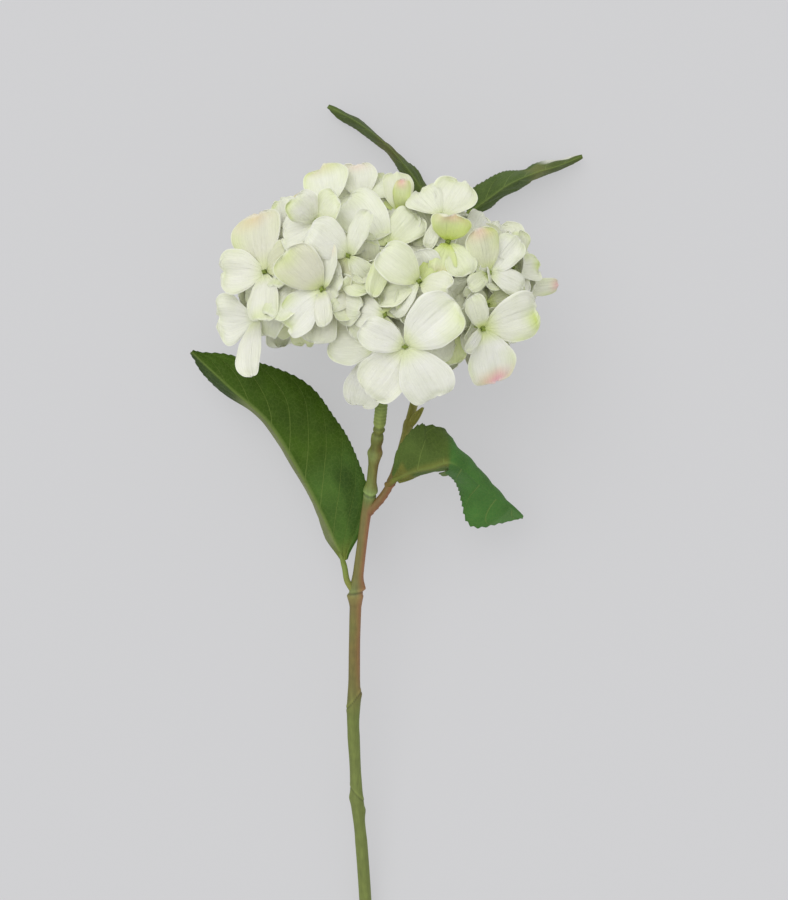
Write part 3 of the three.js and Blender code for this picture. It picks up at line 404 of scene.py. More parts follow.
def smooth_line(stations, shares):
    """Points and directions along a centripetal Catmull-Rom curve through stations, at shares of its length.

    Between two stations it is a cubic whose end slopes come from the neighbours, spaced by the root of their
    distance. Short chords are added up to turn shares of the length into places on the cubics."""
    p = np.asarray(stations, float)
    p = np.vstack([2 * p[0] - p[1], p, 2 * p[-1] - p[-2]])
    gap = np.linalg.norm(np.diff(p, axis=0), axis=1, keepdims=True) ** 0.5
    a, b, c = gap[:-2], gap[1:-1], gap[2:]
    before, start, end, after = p[:-3], p[1:-2], p[2:-1], p[3:]
    leave = ((start - before) / a - (end - before) / (a + b) + (end - start) / b) * b
    arrive = ((end - start) / b - (after - start) / (b + c) + (after - end) / c) * b

    def at(place):
        k = np.clip(place.astype(int), 0, len(start) - 1)
        u = (place - k)[:, None]
        return ((2 * u ** 3 - 3 * u ** 2 + 1) * start[k] + (u ** 3 - 2 * u ** 2 + u) * leave[k]
                + (3 * u ** 2 - 2 * u ** 3) * end[k] + (u ** 3 - u ** 2) * arrive[k])

    place = np.linspace(0, len(start), 60 * len(start) + 1)
    length = np.append(0, np.cumsum(np.linalg.norm(np.diff(at(place), axis=0), axis=1)))
    place = np.interp(np.asarray(shares) * length[-1], length, place)
    return at(place), unit(at(place + 0.01) - at(place - 0.01)), length[-1]


def grid_quads(rows, cols, wrap=False):
    """Corner numbers of the quads of a grid, counted row by row; wrap joins the last column to the first."""
    r, c = np.meshgrid(np.arange(rows - 1), np.arange(cols if wrap else cols - 1), indexing="ij")
    here = r * cols + c
    beside = r * cols + (c + 1) % cols
    return np.stack([here, here + cols, beside + cols, beside], -1).reshape(-1, 4)


def blade(points, raised, lowered, places, paint, under_paint=None):
    """A closed thin body round a grid of points.

    One sheet is the grid raised along its normals (the cross product of its slopes along rows and columns),
    the other the grid lowered, and a rim of quads joins their edges."""
    rows, cols = points.shape[:2]
    normals = unit(np.cross(np.gradient(points, axis=0), np.gradient(points, axis=1)))
    top = points + normals * np.broadcast_to(raised, (rows, cols))[..., None]
    bottom = points - normals * np.broadcast_to(lowered, (rows, cols))[..., None]
    quads = grid_quads(rows, cols)
    number = np.arange(rows * cols).reshape(rows, cols)
    edge = np.concatenate([number[:, 0], number[-1, 1:], number[-2::-1, -1], number[0, -2:0:-1]])
    following = np.roll(edge, -1)
    below = rows * cols
    rim = np.stack([edge, edge + below, following + below, following], -1)
    faces = np.vstack([quads, quads[:, ::-1] + below, rim])
    under_paint = paint if under_paint is None else under_paint
    return Shape(np.concatenate([top, bottom]).reshape(-1, 3), faces.ravel(), np.full(len(faces), 4),
                 np.concatenate([places, places]).reshape(-1, 2),
                 np.concatenate([paint, under_paint]).reshape(-1, 4))


def tube(path, ahead, radius, side, paint):
    """A closed tube: a ring of points round each place of a path, square to its direction, with flat ends.

    radius and paint hold a row for each place and a column for each point of its ring, counted from side."""
    rows, cols = radius.shape
    across = unit(side - (side * ahead).sum(-1, keepdims=True) * ahead)
    above = np.cross(ahead, across)
    turn = round_turns(cols)
    ring = np.cos(turn)[None, :, None] * across[:, None] + np.sin(turn)[None, :, None] * above[:, None]
    points = path[:, None] + ring * radius[..., None]
    quads = grid_quads(rows, cols, wrap=True)[:, ::-1]
    first = np.arange(cols)[::-1]
    last = (rows - 1) * cols + np.arange(cols)
    places = np.stack(np.broadcast_arrays(turn[None, :], np.linspace(0, 1, rows)[:, None]), -1)
    return Shape(points.reshape(-1, 3), np.concatenate([quads.ravel(), first, last]),
                 np.concatenate([np.full(len(quads), 4), [cols, cols]]), places.reshape(-1, 2),
                 np.broadcast_to(paint, (rows, cols, 4)).reshape(-1, 4))


def joined(shapes):
    """One shape of several: their points one after another, and corner numbers moved on to match."""
    starts = np.cumsum([0] + [len(shape.points) for shape in shapes[:-1]])
    return Shape(np.vstack([shape.points for shape in shapes]),
                 np.concatenate([shape.corners + start for shape, start in zip(shapes, starts)]),
                 np.concatenate([shape.sizes for shape in shapes]),
                 np.vstack([shape.places for shape in shapes]), np.vstack([shape.paint for shape in shapes]))


def scene_object(name, data):
    """A new object in the scene."""
    made = bpy.data.objects.new(name, data)
    bpy.context.scene.collection.objects.link(made)
    return made


def mesh_piece(name, shapes, material, nodes):
    """A finished piece that rides on the body and stands for CAD nodes. No point lies below the table."""
    shape = joined(shapes)
    points = shape.points.copy()
    points[:, 2] = np.maximum(points[:, 2], LOWEST)
    mesh = bpy.data.meshes.new(name)
    mesh.vertices.add(len(points))
    mesh.vertices.foreach_set("co", (points * MM).astype(np.float32).ravel())
    mesh.loops.add(len(shape.corners))
    mesh.loops.foreach_set("vertex_index", shape.corners.astype(np.int32))
    mesh.polygons.add(len(shape.sizes))
    mesh.polygons.foreach_set("loop_start", np.append(0, np.cumsum(shape.sizes)[:-1]).astype(np.int32))
    mesh.polygons.foreach_set("use_smooth", np.ones(len(shape.sizes), bool))
    mesh.update(calc_edges=True)
    places = shape.places[shape.corners].astype(np.float32)
    mesh.uv_layers.new(name="places").data.foreach_set("uv", places.ravel())
    painted = mesh.color_attributes.new("paint", "FLOAT_COLOR", "POINT")
    painted.data.foreach_set("color", shape.paint.astype(np.float32).ravel())
    mesh.set_sharp_from_angle(angle=SHARP_ANGLE)
    mesh.materials.append(material)
    piece = scene_object(name, mesh)
    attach(piece, "root")
    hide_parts(*nodes)


class Finish:
    """A material whose nodes are added one at a time. A socket takes a number, a colour or another socket."""

    def __init__(self, name, **surface):
        self.material = bpy.data.materials.new(name)
        self.material.use_nodes = True
        self.tree = self.material.node_tree
        self.shader = self.tree.nodes["Principled BSDF"]
        for key, value in surface.items():
            self.put(value, self.shader.inputs[key.replace("_", " ").title().replace("Ior", "IOR")])

    def put(self, value, socket):
        """Sets a socket to a number, vector or colour, or links another socket to it."""
        if isinstance(value, bpy.types.NodeSocket):
            self.tree.links.new(value, socket)
        elif hasattr(value, "__len__"):
            without_alpha = len(value) == 3 and len(socket.default_value) == 4
            socket.default_value = (*value, 1) if without_alpha else tuple(value)
        else:
            socket.default_value = value

    def node(self, kind, inputs=(), **settings):
        """Adds a node with its settings and what goes on its inputs."""
        made = self.tree.nodes.new("ShaderNode" + kind)
        for key, value in settings.items():
            setattr(made, key, value)
        for key, value in dict(inputs).items():
            self.put(value, made.inputs[key])
        return made

    def add(self, kind, inputs=(), output=0, **settings):
        """One output of a new node."""
        return self.node(kind, inputs, **settings).outputs[output]

    def paint(self):
        """The piece's painted colour and its fourth painted value."""
        painted = self.node("Attribute", attribute_name="paint").outputs
        return painted["Color"], painted["Alpha"]

    def place(self):
        """The piece's place across and along."""
        return self.add("UVMap", uv_map="places")

    def across_and_along(self):
        """How far a place lies from the middle line, from 0 to 1 at the margin, and how far along it lies."""
        across, along_line, _ = self.node("SeparateXYZ", {0: self.place()}).outputs
        return self.maths("ABSOLUTE", self.maths("MULTIPLY_ADD", across, 2, -1)), along_line

    def maths(self, operation, *values):
        """What an operation makes of numbers or sockets."""
        return self.add("Math", enumerate(values), operation=operation)

    def plus(self, a, b):
        return self.maths("ADD", a, b)

    def minus(self, a, b):
        return self.maths("SUBTRACT", a, b)

    def times(self, a, b):
        return self.maths("MULTIPLY", a, b)

    def remap(self, value, start, end, low, high):
        """A value from start to end as one from low to high."""
        return self.add("MapRange", {0: value, 1: start, 2: end, 3: low, 4: high})

    def mix(self, factor, a, b):
        """Colour a at factor 0 and b at factor 1."""
        return self.add("Mix", {0: factor, 6: a, 7: b}, output=2, data_type="RGBA")

    def shade(self, factor, colour):
        """The colour times a factor."""
        return self.add("Mix", {0: 1, 6: colour, 7: factor}, output=2, data_type="RGBA",
                        blend_type="MULTIPLY")

    def cloud(self, vector, size, detail=2, low=0.0, high=1.0):
        """Soft random patches of about a size in millimetres, from low to high."""
        patches = self.add("TexNoise", {"Vector": vector, "Scale": 1 / (size * MM), "Detail": detail})
        return self.remap(patches, 0.3, 0.7, low, high)

    def done(self, colour, height, depth):
        """The material with its colour, and a relief depth millimetres deep where height goes from 0 to 1."""
        self.put(colour, self.shader.inputs["Base Color"])
        relief = self.add("Bump", {"Height": height, "Distance": depth * MM})
        self.put(relief, self.shader.inputs["Normal"])
        return self.material


# Finishes

def petal_finish():
    """White petals that let some light through: a warm pale painted shade in the depth of the head, painted
    yellow-green and pink, with soft folds and fine veins that fan out from the foot, and a thin rim painted
    pale as a highlight."""
    f = Finish("petal", roughness=0.5, specular_ior_level=0.32, subsurface_weight=0.2,
               subsurface_radius=(1.0, 1.0, 0.85), subsurface_scale=0.001)
    painted, cream_shade = f.paint()
    margin, pink, deep = f.node("SeparateColor", {0: painted}).outputs
    spot = f.add("TexCoord", output="Object")
    across, along_petal = f.across_and_along()

    def streaks(shortening, scale, detail):
        """Noise that is drawn out along the petal."""
        place = f.add("Mapping", {"Vector": f.place(), "Scale": (1, shortening, 1)})
        return f.add("TexNoise", {"Vector": place, "Scale": scale, "Detail": detail})

    veins, folds = streaks(0.045, 46, 2), streaks(0.12, 13, 1)
    # A thin band at the margin and the tip, which the last tint paints pale as a highlight.
    rim = f.remap(f.maths("MAXIMUM", across, along_petal), 0.93, 0.985, 0, 1)
    colour = f.mix(f.cloud(spot, 9), screen(238, 240, 221), screen(246, 246, 234))
    # The first tint is a warm pale painted shade in the depth of the head.
    tints = [(cream_shade, (218, 217, 186)), (margin, (207, 224, 126)), (deep, (212, 230, 104)),
             (pink, (246, 180, 186)), (f.times(rim, 0.45), (250, 250, 240))]
    for share, tint in tints:
        colour = f.mix(share, colour, screen(*tint))
    colour = f.shade(f.remap(veins, 0.3, 0.7, 0.95, 1.03), colour)
    fine = f.times(f.cloud(spot, 1.6, 3), 0.3)
    fine = f.plus(f.times(veins, 0.6), fine)
    return f.done(colour, f.plus(fine, f.times(folds, 1.6)), 0.34)


def leaf_finish(name, leaf):
    """Leaf: its painted tones in soft patches, paler side veins, fine netting and a faint gloss.

    A side vein is a line on which the place along the midrib, less a share that grows across, is a whole
    number of vein gaps. Its distance from there is taken in millimetres, and the line thins towards the
    margin. A half that is rolled under shows no veins past the place where the midrib stops showing."""
    f = Finish(name, roughness=0.55, specular_ior_level=0.1)
    tone, rib = f.paint()
    spot = f.add("TexCoord", output="Object")
    size, t = f.across_and_along()
    gap = smooth_line(leaf["midrib"], [0])[2] / leaf["veins"]
    bent = f.times(f.maths("POWER", size, 3), VEIN_CURVE)
    forward = f.plus(f.times(size, leaf["lean"]), bent)
    place = f.times(f.minus(t, forward), leaf["veins"])
    right = f.maths("GREATER_THAN", f.add("SeparateXYZ", {0: f.place()}), 0.5)
    place = f.plus(place, f.times(right, VEIN_STEP))
    from_vein = f.times(f.maths("PINGPONG", place, 0.5), gap)
    width = f.remap(size, 0, 1, *VEIN_WIDTHS)
    vein = f.minus(1, f.maths("MINIMUM", f.maths("DIVIDE", from_vein, width), 1))
    vein = f.times(vein, f.remap(size, 0.5, 1, 1, 0.35))
    if "rolled" in leaf:
        past_fold = f.maths("GREATER_THAN", t, leaf["rib_end"])
        hidden = f.times(past_fold, f.minus(1, right))
        vein = f.times(vein, f.minus(1, hidden))
    netting = f.add("TexVoronoi", {"Vector": spot, "Scale": 1 / (NET_STEP * MM)}, output="Distance",
                    feature="DISTANCE_TO_EDGE")
    net = f.remap(netting, 0, 0.12, 1, 0)
    pale = f.mix(0.6, tone, screen(138, 158, 82))
    colour = f.shade(f.cloud(spot, 11, 3, 0.84, 1.14), tone)
    colour = f.mix(f.times(net, 0.16), colour, pale)
    colour = f.mix(f.times(f.maths("MAXIMUM", vein, rib), 0.75), colour, pale)
    relief = f.plus(f.times(net, -0.4), f.cloud(spot, 1.2, 3))
    return f.done(colour, f.minus(relief, f.times(vein, 1.2)), 0.16)


def bark_finish(name, roughness=0.55):
    """Stem: its painted colour, mottled, with fine lengthwise streaks."""
    f = Finish(name, roughness=roughness, specular_ior_level=0.4)
    spot = f.add("TexCoord", output="Object")
    long = f.add("Mapping", {"Vector": spot, "Scale": (1, 0.12, 1)})
    streaks, mottle = f.cloud(long, 0.9, 3, 0.9, 1.08), f.cloud(spot, 5, 3, 0.9, 1.1)
    colour = f.shade(f.times(streaks, mottle), f.paint()[0])
    return f.done(colour, f.cloud(long, 0.7, 3), 0.12)


# Florets

def floret_frame(normal):
    """Right, up and out of a floret as rows: up is as near to +Y as it can be."""
    out = unit(np.asarray(normal, float))
    hint = np.array([0, 0, 1.0]) if abs(out[1]) > 0.97 else np.array([0, 1.0, 0])
    right = unit(np.cross(hint, out))
    return np.array([right, np.cross(out, right), out])


def petal_pose(floret, k, bend):
    """Turn, rise, length and half width of a petal.

    Where a floret lists how its petals are seen, the petal reaches from the centre to its tip: as far as it
    would if it stood at a fair angle to the picture, within the limits of its reach, and the depth that is
    left over goes forward or back. Its width is the seen one, over how squarely it faces the camera."""
    seed = floret["index"] * 7 + k * 3
    if "petals" not in floret:
        turn = np.radians(floret["turn"] + 90 * k) + (noise(seed) - 0.5) * TURN_SPREAD
        length = PETAL_LENGTH * floret["size"] * spread(LENGTH_SPREAD, seed + 2)
        return turn, np.radians(floret["rise"][k] + bend), length, PETAL_HALF_WIDTH * floret["size"]
    right, up, seen, side = floret["petals"][k][:4]
    flat = np.hypot(right, up)
    reach = max(np.clip(flat / np.cos(FORWARD), *PETAL_REACH), LEAST_REACH * flat)
    axes = floret_frame(floret["normal"])
    x, y, z = axes @ (right, up, side * np.sqrt(reach ** 2 - flat ** 2)) / reach
    turn = np.arctan2(y, x)
    rise = np.arcsin(z) + (spread(TIP_BEND_SPREAD, seed + 1) - PETAL_TILT) / 2
    across = np.array([-np.sin(turn), np.cos(turn), 0]) @ axes
    square = abs(across[0] * up - across[1] * right) / flat
    return turn, rise, reach / PETAL_CHORD, FULLNESS * seen / 2 / max(square, LEAST_SEEN)


def petal_relief(seed, s, v, side, half, length, width):
    """What a fine petal has on top of its form: folds, ruffle, bowl and roll as heights, how far its sides
    spread as a factor, and how far its edge goes on ahead.

    The folds are sines across that grow towards the tip. The rim is ruffled and rolled down, and the ruffle
    and the uneven edge are sines of the angle round the petal, so that they run on round its tip."""
    first, second, third, fourth = 2 * np.pi * noise(seed + np.array([6, 7, 8, 9]))
    grown = ease(s, 0, 0.75) * min(1.15, width / 9)
    folds = grown * sum(height * np.sin(across * v + lengthwise * s + phase)
                        for (height, across, lengthwise), phase in zip(FOLDS, (first, second, third)))
    rim = 1 - (1 - np.abs(v) ** 2.5) * (1 - ease(s, 0.6, 1))
    around = np.arctan2(side, (s - 0.5) * length)
    ruffle = RUFFLE_HEIGHT * ease(rim, 0.35, 1) ** 2 * np.sin(5 * around + fourth) * grown
    bowl = spread(BOWL_SPREAD, seed + 11) * half * v * v * grown
    roll = spread(ROLL_SPREAD, seed + 10) * ease(rim, 0.55, 1) ** 2 * ease(s, 0.15, 0.5)
    sides = 1 + 0.04 * np.sin(4 * around + first) * ease(s, 0.3, 0.6)
    edge = 0.02 * np.sin(4 * around + second) + 0.006 * np.sin(11 * around + third)
    return folds, ruffle, bowl, roll, sides, length * ease(s, 0.6, 1) * edge


def petal_points(floret, k, bend, s, v, fine=False):
    """Points of petal k of a floret at places s along it and v across it.

    It starts at a slope and turns steadily to another one. Its half width is an outline of powers, held to a
    straight claw near the foot. The surface is cupped across, twisted towards the tip and waved. A fine petal
    has a fuller outline, blended into its claw by a power mean, and a relief."""
    seed = floret["index"] * 7 + k * 3
    turn, rise, length, width = petal_pose(floret, k, bend)
    start, end, cup, twist, wave = 0, 1e-3, 0, 0, 0
    flat = floret["kind"] == "resting"
    if not flat:
        start, end = rise + PETAL_TILT, rise - spread(TIP_BEND_SPREAD, seed + 1)
        cup, twist, wave = spread(CUP_SPREAD, seed + 3), spread(TWIST_SPREAD, seed + 4), PETAL_WAVE
    phase = 2 * np.pi * noise(seed + 5)
    slope = start + (end - start) * s
    ahead = PETAL_FOOT * length + length * (np.sin(slope) - np.sin(start)) / (end - start)
    up = -length * (np.cos(slope) - np.cos(start)) / (end - start)
    if fine:
        full = width * outline(np.clip(s, 0.15, 1), FULL_OUTLINE)
        claw = CLAW_SLOPE * np.maximum((PETAL_FOOT + s) * length, 0.15)
        half = (full ** -4 + claw ** -4) ** -0.25
    else:
        full = width * outline(s, PETAL_OUTLINE)
        half = np.where(s < CLAW_END, np.minimum(full, CLAW_SHARE * ahead), full)
    side = v * half
    lift = (cup * v * v * half + side * np.sin(twist) * s
            + wave * length * np.clip(s, 0, 1) ** 2 * np.sin(3 * v + phase + 2 * s))
    if fine:
        folds, ruffle, bowl, roll, sides, further = petal_relief(seed, s, v, side, half, length, width)
        lift = -0.6 * np.abs(folds + ruffle) if flat else lift + folds + ruffle + bowl - roll
        side = side * sides
        ahead, up = ahead + np.cos(slope) * further, up + np.sin(slope) * further
    x = ahead - np.sin(slope) * lift
    y = side * (1 - (1 - np.cos(twist)) * s)
    z = up + np.cos(slope) * lift + (0 if flat else PETAL_STEP * (k % 2))
    turned = np.stack([x * np.cos(turn) - y * np.sin(turn), x * np.sin(turn) + y * np.cos(turn), z], -1)
    return turned @ floret_frame(floret["normal"]) + floret["centre"]


def head_depth(points):
    """How deep points lie in the head: 1 in its middle, 0 on the ellipsoid of the florets' centres."""
    return 1 - np.linalg.norm((points - HEAD_CENTRE) / HEAD_RADII, axis=-1)


def golden_place(number, height):
    """A place on a sphere of radius 1 at a height along Y, turned by the golden angle for each number."""
    ring = np.sqrt(1 - height ** 2)
    turn = number * np.pi * (3 - np.sqrt(5))
    return np.stack([ring * np.cos(turn), height, ring * np.sin(turn)], -1)


def outer_florets():
    """Front florets as listed, resting ones flat on the table, and those behind by the golden angle, where no
    other floret is near."""
    florets = []
    for at, (x, y), *petals in FRONT_FLORETS:
        normal = np.array([x, y, np.sqrt(1 - x * x - y * y)])
        florets.append(dict(kind="front", centre=np.array(at, float), normal=normal, petals=petals))
    for listed in RESTING_FLORETS:
        florets.append(dict(listed, kind="resting", centre=np.array([*listed["at"], RESTING_HEIGHT]),
                            normal=np.array([0, 0, -1.0]), rise=(0, 0, 0, 0)))
    for i in range(BEHIND["count"]):
        place = golden_place(i, BEHIND["top"] - BEHIND["span"] * i / BEHIND["count"])
        centre = place * HEAD_RADII + HEAD_CENTRE
        apart = all(np.linalg.norm(floret["centre"] - centre) > BEHIND["spacing"] for floret in florets)
        if place[2] < BEHIND["depth"] and apart:
            rise = [spread(BEHIND["rise"], i * 5 + k) for k in range(4)]
            florets.append(dict(kind="behind", centre=centre, normal=place / HEAD_RADII, rise=rise,
                                turn=360 * noise(i + 40), size=spread(BEHIND["size"], i + 70)))
    for index, floret in enumerate(florets):
        floret["index"] = index
    return florets


def inner_florets():
    """Small florets between the others and the core, by the golden angle on a smaller ellipsoid."""
    number = np.arange(INNER["count"])
    places = golden_place(number, 1 - 2 * (number + 0.5) / INNER["count"])
    x, y, z = places.T
    florets = []
    for i, place in enumerate(places[(z > INNER["lowest"]) & (y > INNER["lowest"] - INNER["slant"] * x)]):
        rise = [spread(INNER["rise"], i * 4 + k) for k in range(4)]
        florets.append(dict(kind="inner", centre=HEAD_CENTRE + INNER["share"] * place * HEAD_RADII, rise=rise,
                            normal=place / HEAD_RADII, index=INNER["first_index"] + i,
                            turn=360 * noise(i + 3), size=spread(INNER["size"], i + 11)))
    return florets


def frame_tree(node):
    """A search tree over the triangles of a CAD node."""
    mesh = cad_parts[node].data
    mesh.calc_loop_triangles()
    return BVHTree.FromPolygons([p.co / MM for p in mesh.vertices], [t.vertices for t in mesh.loop_triangles])


def set_petals(florets):
    """Gives each petal behind the bend at which it lies on the frame's solid, or leaves it off where the
    solid has none. Petals in front aren't bent."""
    head = frame_tree("flower_head")
    s, v = np.meshgrid([0.33, 0.68, 0.97], [-1, 0, 1], indexing="ij")
    for floret in florets:
        floret["bends"] = [0] * 4
        if floret["kind"] != "front":
            for k in range(4):
                tried = [petal_points(floret, k, bend, s, v).reshape(-1, 3) for bend in BENDS]
                far = [max(head.find_nearest(Vector(point))[3] for point in points) for points in tried]
                best = int(np.argmin(far))
                floret["bends"][k] = BENDS[best] if far[best] < FOUND else None


def petal_tints(floret, k, seed):
    """A petal's five tints, in the order of the list of front florets: as listed, and faint ones by noise."""
    listed = floret["petals"][k][4:] if "petals" in floret else ()
    by_noise = (0.4 * noise(seed) ** 2, 0, 0.08 * noise(seed + 1), 0, 0.25 * noise(seed + 4) ** 2)
    if listed:
        listed += (0,) * (PETAL_TINTS - len(listed))
    return listed + by_noise[len(listed):]


def petal_shape(floret, k, bend):
    """One petal as a closed blade. Its rows and columns crowd towards its edge, so the edge comes out round.

    It is painted green in patches along its margin, pink at its tip, green at its foot and all over, with a
    warm pale painted shade in the depth of the head and, by its tints, a pale brown painted shade all over."""
    rows, cols = PETAL_GRIDS[floret["kind"]]
    q, w = np.linspace(0, 1, rows), np.linspace(-1, 1, cols)
    first, last = PETAL_SPAN
    s = first + (last - first) * (1 - (1 - q) ** CROWDING[0])
    s, v = np.meshgrid(s, np.sign(w) * (1 - (1 - np.abs(w)) ** CROWDING[1]), indexing="ij")
    points = petal_points(floret, k, bend, s, v, fine=True)
    seed = floret["index"] * 11 + k * 5
    green, pink, deep, side, beige_shade = petal_tints(floret, k, seed)
    edge = np.maximum(np.abs(v) ** 2 * ease(s, 0.25, 0.6), ease(s, 0.55, 1))
    lean = ease(1 + v * side, 0.2, 1.4) if side else 1
    patch = 0.5 + 0.5 * np.sin(5 * s + 4 * v + 6.28 * noise(seed + 2))
    margin = green * edge * lean * (0.55 + 0.6 * patch) + 0.12 * edge ** 3
    tip = pink * ease(s, 0.62, 0.98) * np.exp(-((v - 0.35 * (noise(seed + 3) - 0.5)) / 0.7) ** 2)
    foot = (0.25 + 0.4 * noise(floret["index"] + 21)) * (1 - ease(s, -0.02, 0.32))
    foot = foot + deep * (1 - 0.45 * ease(s, 0.3, 1))
    # Painted shade: warm and pale in the depth of the head, plus the petal's own pale brown painted shade.
    cream_shade = 0.85 * ease(head_depth(points), -0.12, 0.26) + beige_shade
    paint = np.clip(np.stack([margin, tip, foot, cream_shade], -1), 0, 1)
    places = np.stack([v / 2 + 0.5, s], -1)
    return blade(points, PETAL_THICKNESS / 2, PETAL_THICKNESS / 2, places, paint)


def eye_shape(floret):
    """The small green knob at the middle of a floret: rings of four uneven soft lobes that narrow upwards."""
    index, rings = floret["index"], EYE_RINGS * floret.get("size", EYE_SIZE)
    right, _, out = floret_frame(floret["normal"])
    turn = round_turns(EYE_SIDES)
    lobes = 0.3 * np.cos(4 * turn + index) + 0.14 * np.cos(2 * turn + 5 * noise(index))
    radius = rings[:, :1] * (1 + lobes)
    path = floret["centre"] + (rings[:, 1:] + 0.5) * out
    tone = screen(*EYE_GREEN) * (0.85 + 0.4 * noise(index + 5))
    light = 0.75 + 0.6 * ease(rings[:, 1:], 0.6, 2) + 0.12 * np.cos(4 * turn + index)
    return tube(path, np.broadcast_to(out, path.shape), radius, right, paint_of(tone * light[..., None]))


def core_shape():
    """The crowded middle that the stalks grow from: an ellipsoid of rings along X, budded by two sines."""
    rows, sides = CORE_GRID
    x = np.sin(np.linspace(-1.54, 1.54, rows))[:, None]
    turn = round_turns(sides)
    reach = np.sqrt(1 - x ** 2) / np.hypot(np.cos(turn) / CORE_RADII[1], np.sin(turn) / CORE_RADII[2])
    height, around, lengthwise = CORE_BUDS
    buds = 1 + height * np.sin(around * turn) * np.sin(lengthwise * x)
    path = HEAD_CENTRE + x * CORE_RADII * (1, 0, 0)
    ahead = np.broadcast_to([1.0, 0, 0], path.shape)
    return tube(path, ahead, reach * buds, np.array([0, 1.0, 0]), paint_of(screen(*CORE_GREEN)))


def flower_stalk(floret):
    """A thin stalk from the stem's top to a floret: a cubic Bezier curve that leaves along the stem, meets
    the floret square and thins on the way."""
    centre, flat = floret["centre"], floret["kind"] == "resting"
    start = STEM_TOP + STALK_FOOT * (1 + 0.6 * noise(floret["index"] + 9))
    bow = HEAD_CENTRE * 0.5 + start * 0.5 + (centre - HEAD_CENTRE) * 0.15
    inner = centre - unit(floret["normal"]) * STALK_END["resting" if flat else "other"]
    if not flat:
        inner = inner + (HEAD_CENTRE - inner) * 0.12
    t = np.linspace(0, 1, STALK_GRID[0])[:, None]
    path = ((1 - t) ** 3 * start + 3 * t * (1 - t) ** 2 * bow + 3 * t ** 2 * (1 - t) * inner
            + t ** 3 * centre)
    ahead = unit(np.gradient(path, axis=0))
    side = unit(np.cross(bow - start, inner - bow) + 1e-3)
    radius = np.broadcast_to(STALK_RADIUS[0] - STALK_RADIUS[1] * ease(t, 0, 0.8), STALK_GRID)
    foot, top = (screen(*green) for green in STALK_GREENS)
    return tube(path, ahead, radius, side, paint_of(foot * (1 - t) + top * t)[:, None])


# Leaves

def leaf_shape(leaf):
    """The blade of a leaf with its teeth, side veins and midrib, as a closed sheet.

    From the midrib each half leaves the horizontal at its own angle and curls on steadily to the edge. A side
    vein is a line on which the place along the midrib, less a share that grows across, stays the same: the
    upper sheet sinks there and the lower one stands out. Between them the blade is raised a little."""
    t = np.linspace(*LEAF_SPAN, TOOTH_ROWS * leaf["teeth"] + 1)
    middle, ahead, _ = smooth_line(leaf["midrib"], t)
    across = unit(np.cross(ahead, [0, 0, 1.0]))
    above = np.cross(across, ahead)
    v = np.linspace(1, -1, LEAF_COLUMNS)[None]
    t = t[:, None]
    size = np.abs(v)
    width, start = [np.where(v < 0, along(leaf["left"][i], t), along(leaf["right"][i], t)) for i in (0, 1)]
    curl = np.where(v < 0, along(leaf.get("rolled", [leaf["curl"]] * 2), t), leaf["curl"])
    start, curl = np.radians(start), np.radians(curl)
    tooth = (t * leaf["teeth"] + 0.5) % 1
    saw = np.where(tooth < TOOTH_RISE, tooth / TOOTH_RISE, (1 - tooth) / (1 - TOOTH_RISE))
    depth = np.where(v < 0, *leaf["tooth"]) * ease(t, 0.04, 0.15)
    reach = width - depth * (1 - saw) * ease(size, 0.7, 1)
    turned = start + curl * size
    out = np.sign(v) * reach * (np.sin(turned) - np.sin(start)) / curl
    lift = (reach * (np.cos(start) - np.cos(turned)) / curl
            + leaf["wave"] * reach * v * v * np.sin(LEAF_WAVE_TURN * t + 2 * v))
    lean = 0.5 * depth * saw * ease(size, 0.7, 1)
    points = (middle[:, None] + across[:, None] * out[..., None] + above[:, None] * lift[..., None]
              + ahead[:, None] * lean[..., None])
    place = (t - leaf["lean"] * size - VEIN_CURVE * size ** 3) * leaf["veins"] + VEIN_STEP * (v > 0)
    from_vein = np.abs(place % 1 - 0.5) * 2
    rib_end = leaf.get("rib_end", 1.1)
    rib = np.exp(-(size * reach / (0.85 - 0.5 * t)) ** 2) * (1 - ease(t, rib_end, rib_end + 0.1))
    pucker = 0.5 * np.sin(np.pi * (1 - from_vein) / 2) * ease(size, 0.05, 0.3) * (1 - ease(size, 0.8, 1))
    thickness = 0.5 - 0.2 * size
    raised = thickness / 2 - 0.3 * rib + pucker
    lowered = thickness / 2 + (0.9 - 0.7 * t) * rib - pucker
    upper, lower = leaf_tones(leaf, t, v)
    rib = rib[..., None]
    places = np.stack(np.broadcast_arrays(v * 0.5 + 0.5, t), -1)
    return blade(points, raised, lowered, places, paint_of(upper, rib), paint_of(lower, 0.8 * rib))


def leaf_tones(leaf, t, v):
    """Painted tones of the upper and lower side: the leaf's green with its soft patches laid over it one
    after another, a darker line at the margin, and a paler green below."""
    t, v = np.broadcast_arrays(t, v)
    tone = np.broadcast_to(screen(*leaf["green"]), (*t.shape, 3))
    for colour, strength, t_from, t_to, v_from, v_to in leaf["patches"]:
        lengthwise = within(t, t_from, t_to, leaf.get("soft", 0.12))
        share = (strength * lengthwise * within(v, v_from, v_to, 0.16))[..., None]
        tone = tone * (1 - share) + screen(*colour) * share
    tone = tone * (1 - 0.15 * ease(np.abs(v), 0.92, 1))[..., None]
    return tone, tone * 0.35 + screen(*LEAF_PALE) * 0.65


def leaf_stalk(leaf):
    """The leaf's stalk as a tube that thins towards the blade and changes its colour from the foot."""
    t = np.linspace(0, 1, LEAF_STALK_GRID[0])
    path, ahead, _ = smooth_line(leaf["stalk"], t)
    t = t[:, None]
    radius = 1.6 - 0.2 * ease(t, 0, 0.6) + 0.3 * np.exp(-(t / 0.1) ** 2) - 0.6 * ease(t, 0.7, 1)
    foot, top = (screen(*colour) for colour in leaf["stalk_tones"])
    paint = paint_of(foot + (top - foot) * ease(t, 0.1, 0.6), 0.1)[:, None]
    return tube(path, ahead, np.broadcast_to(radius, LEAF_STALK_GRID), np.array([0, 0, 1.0]), paint)


# Stem

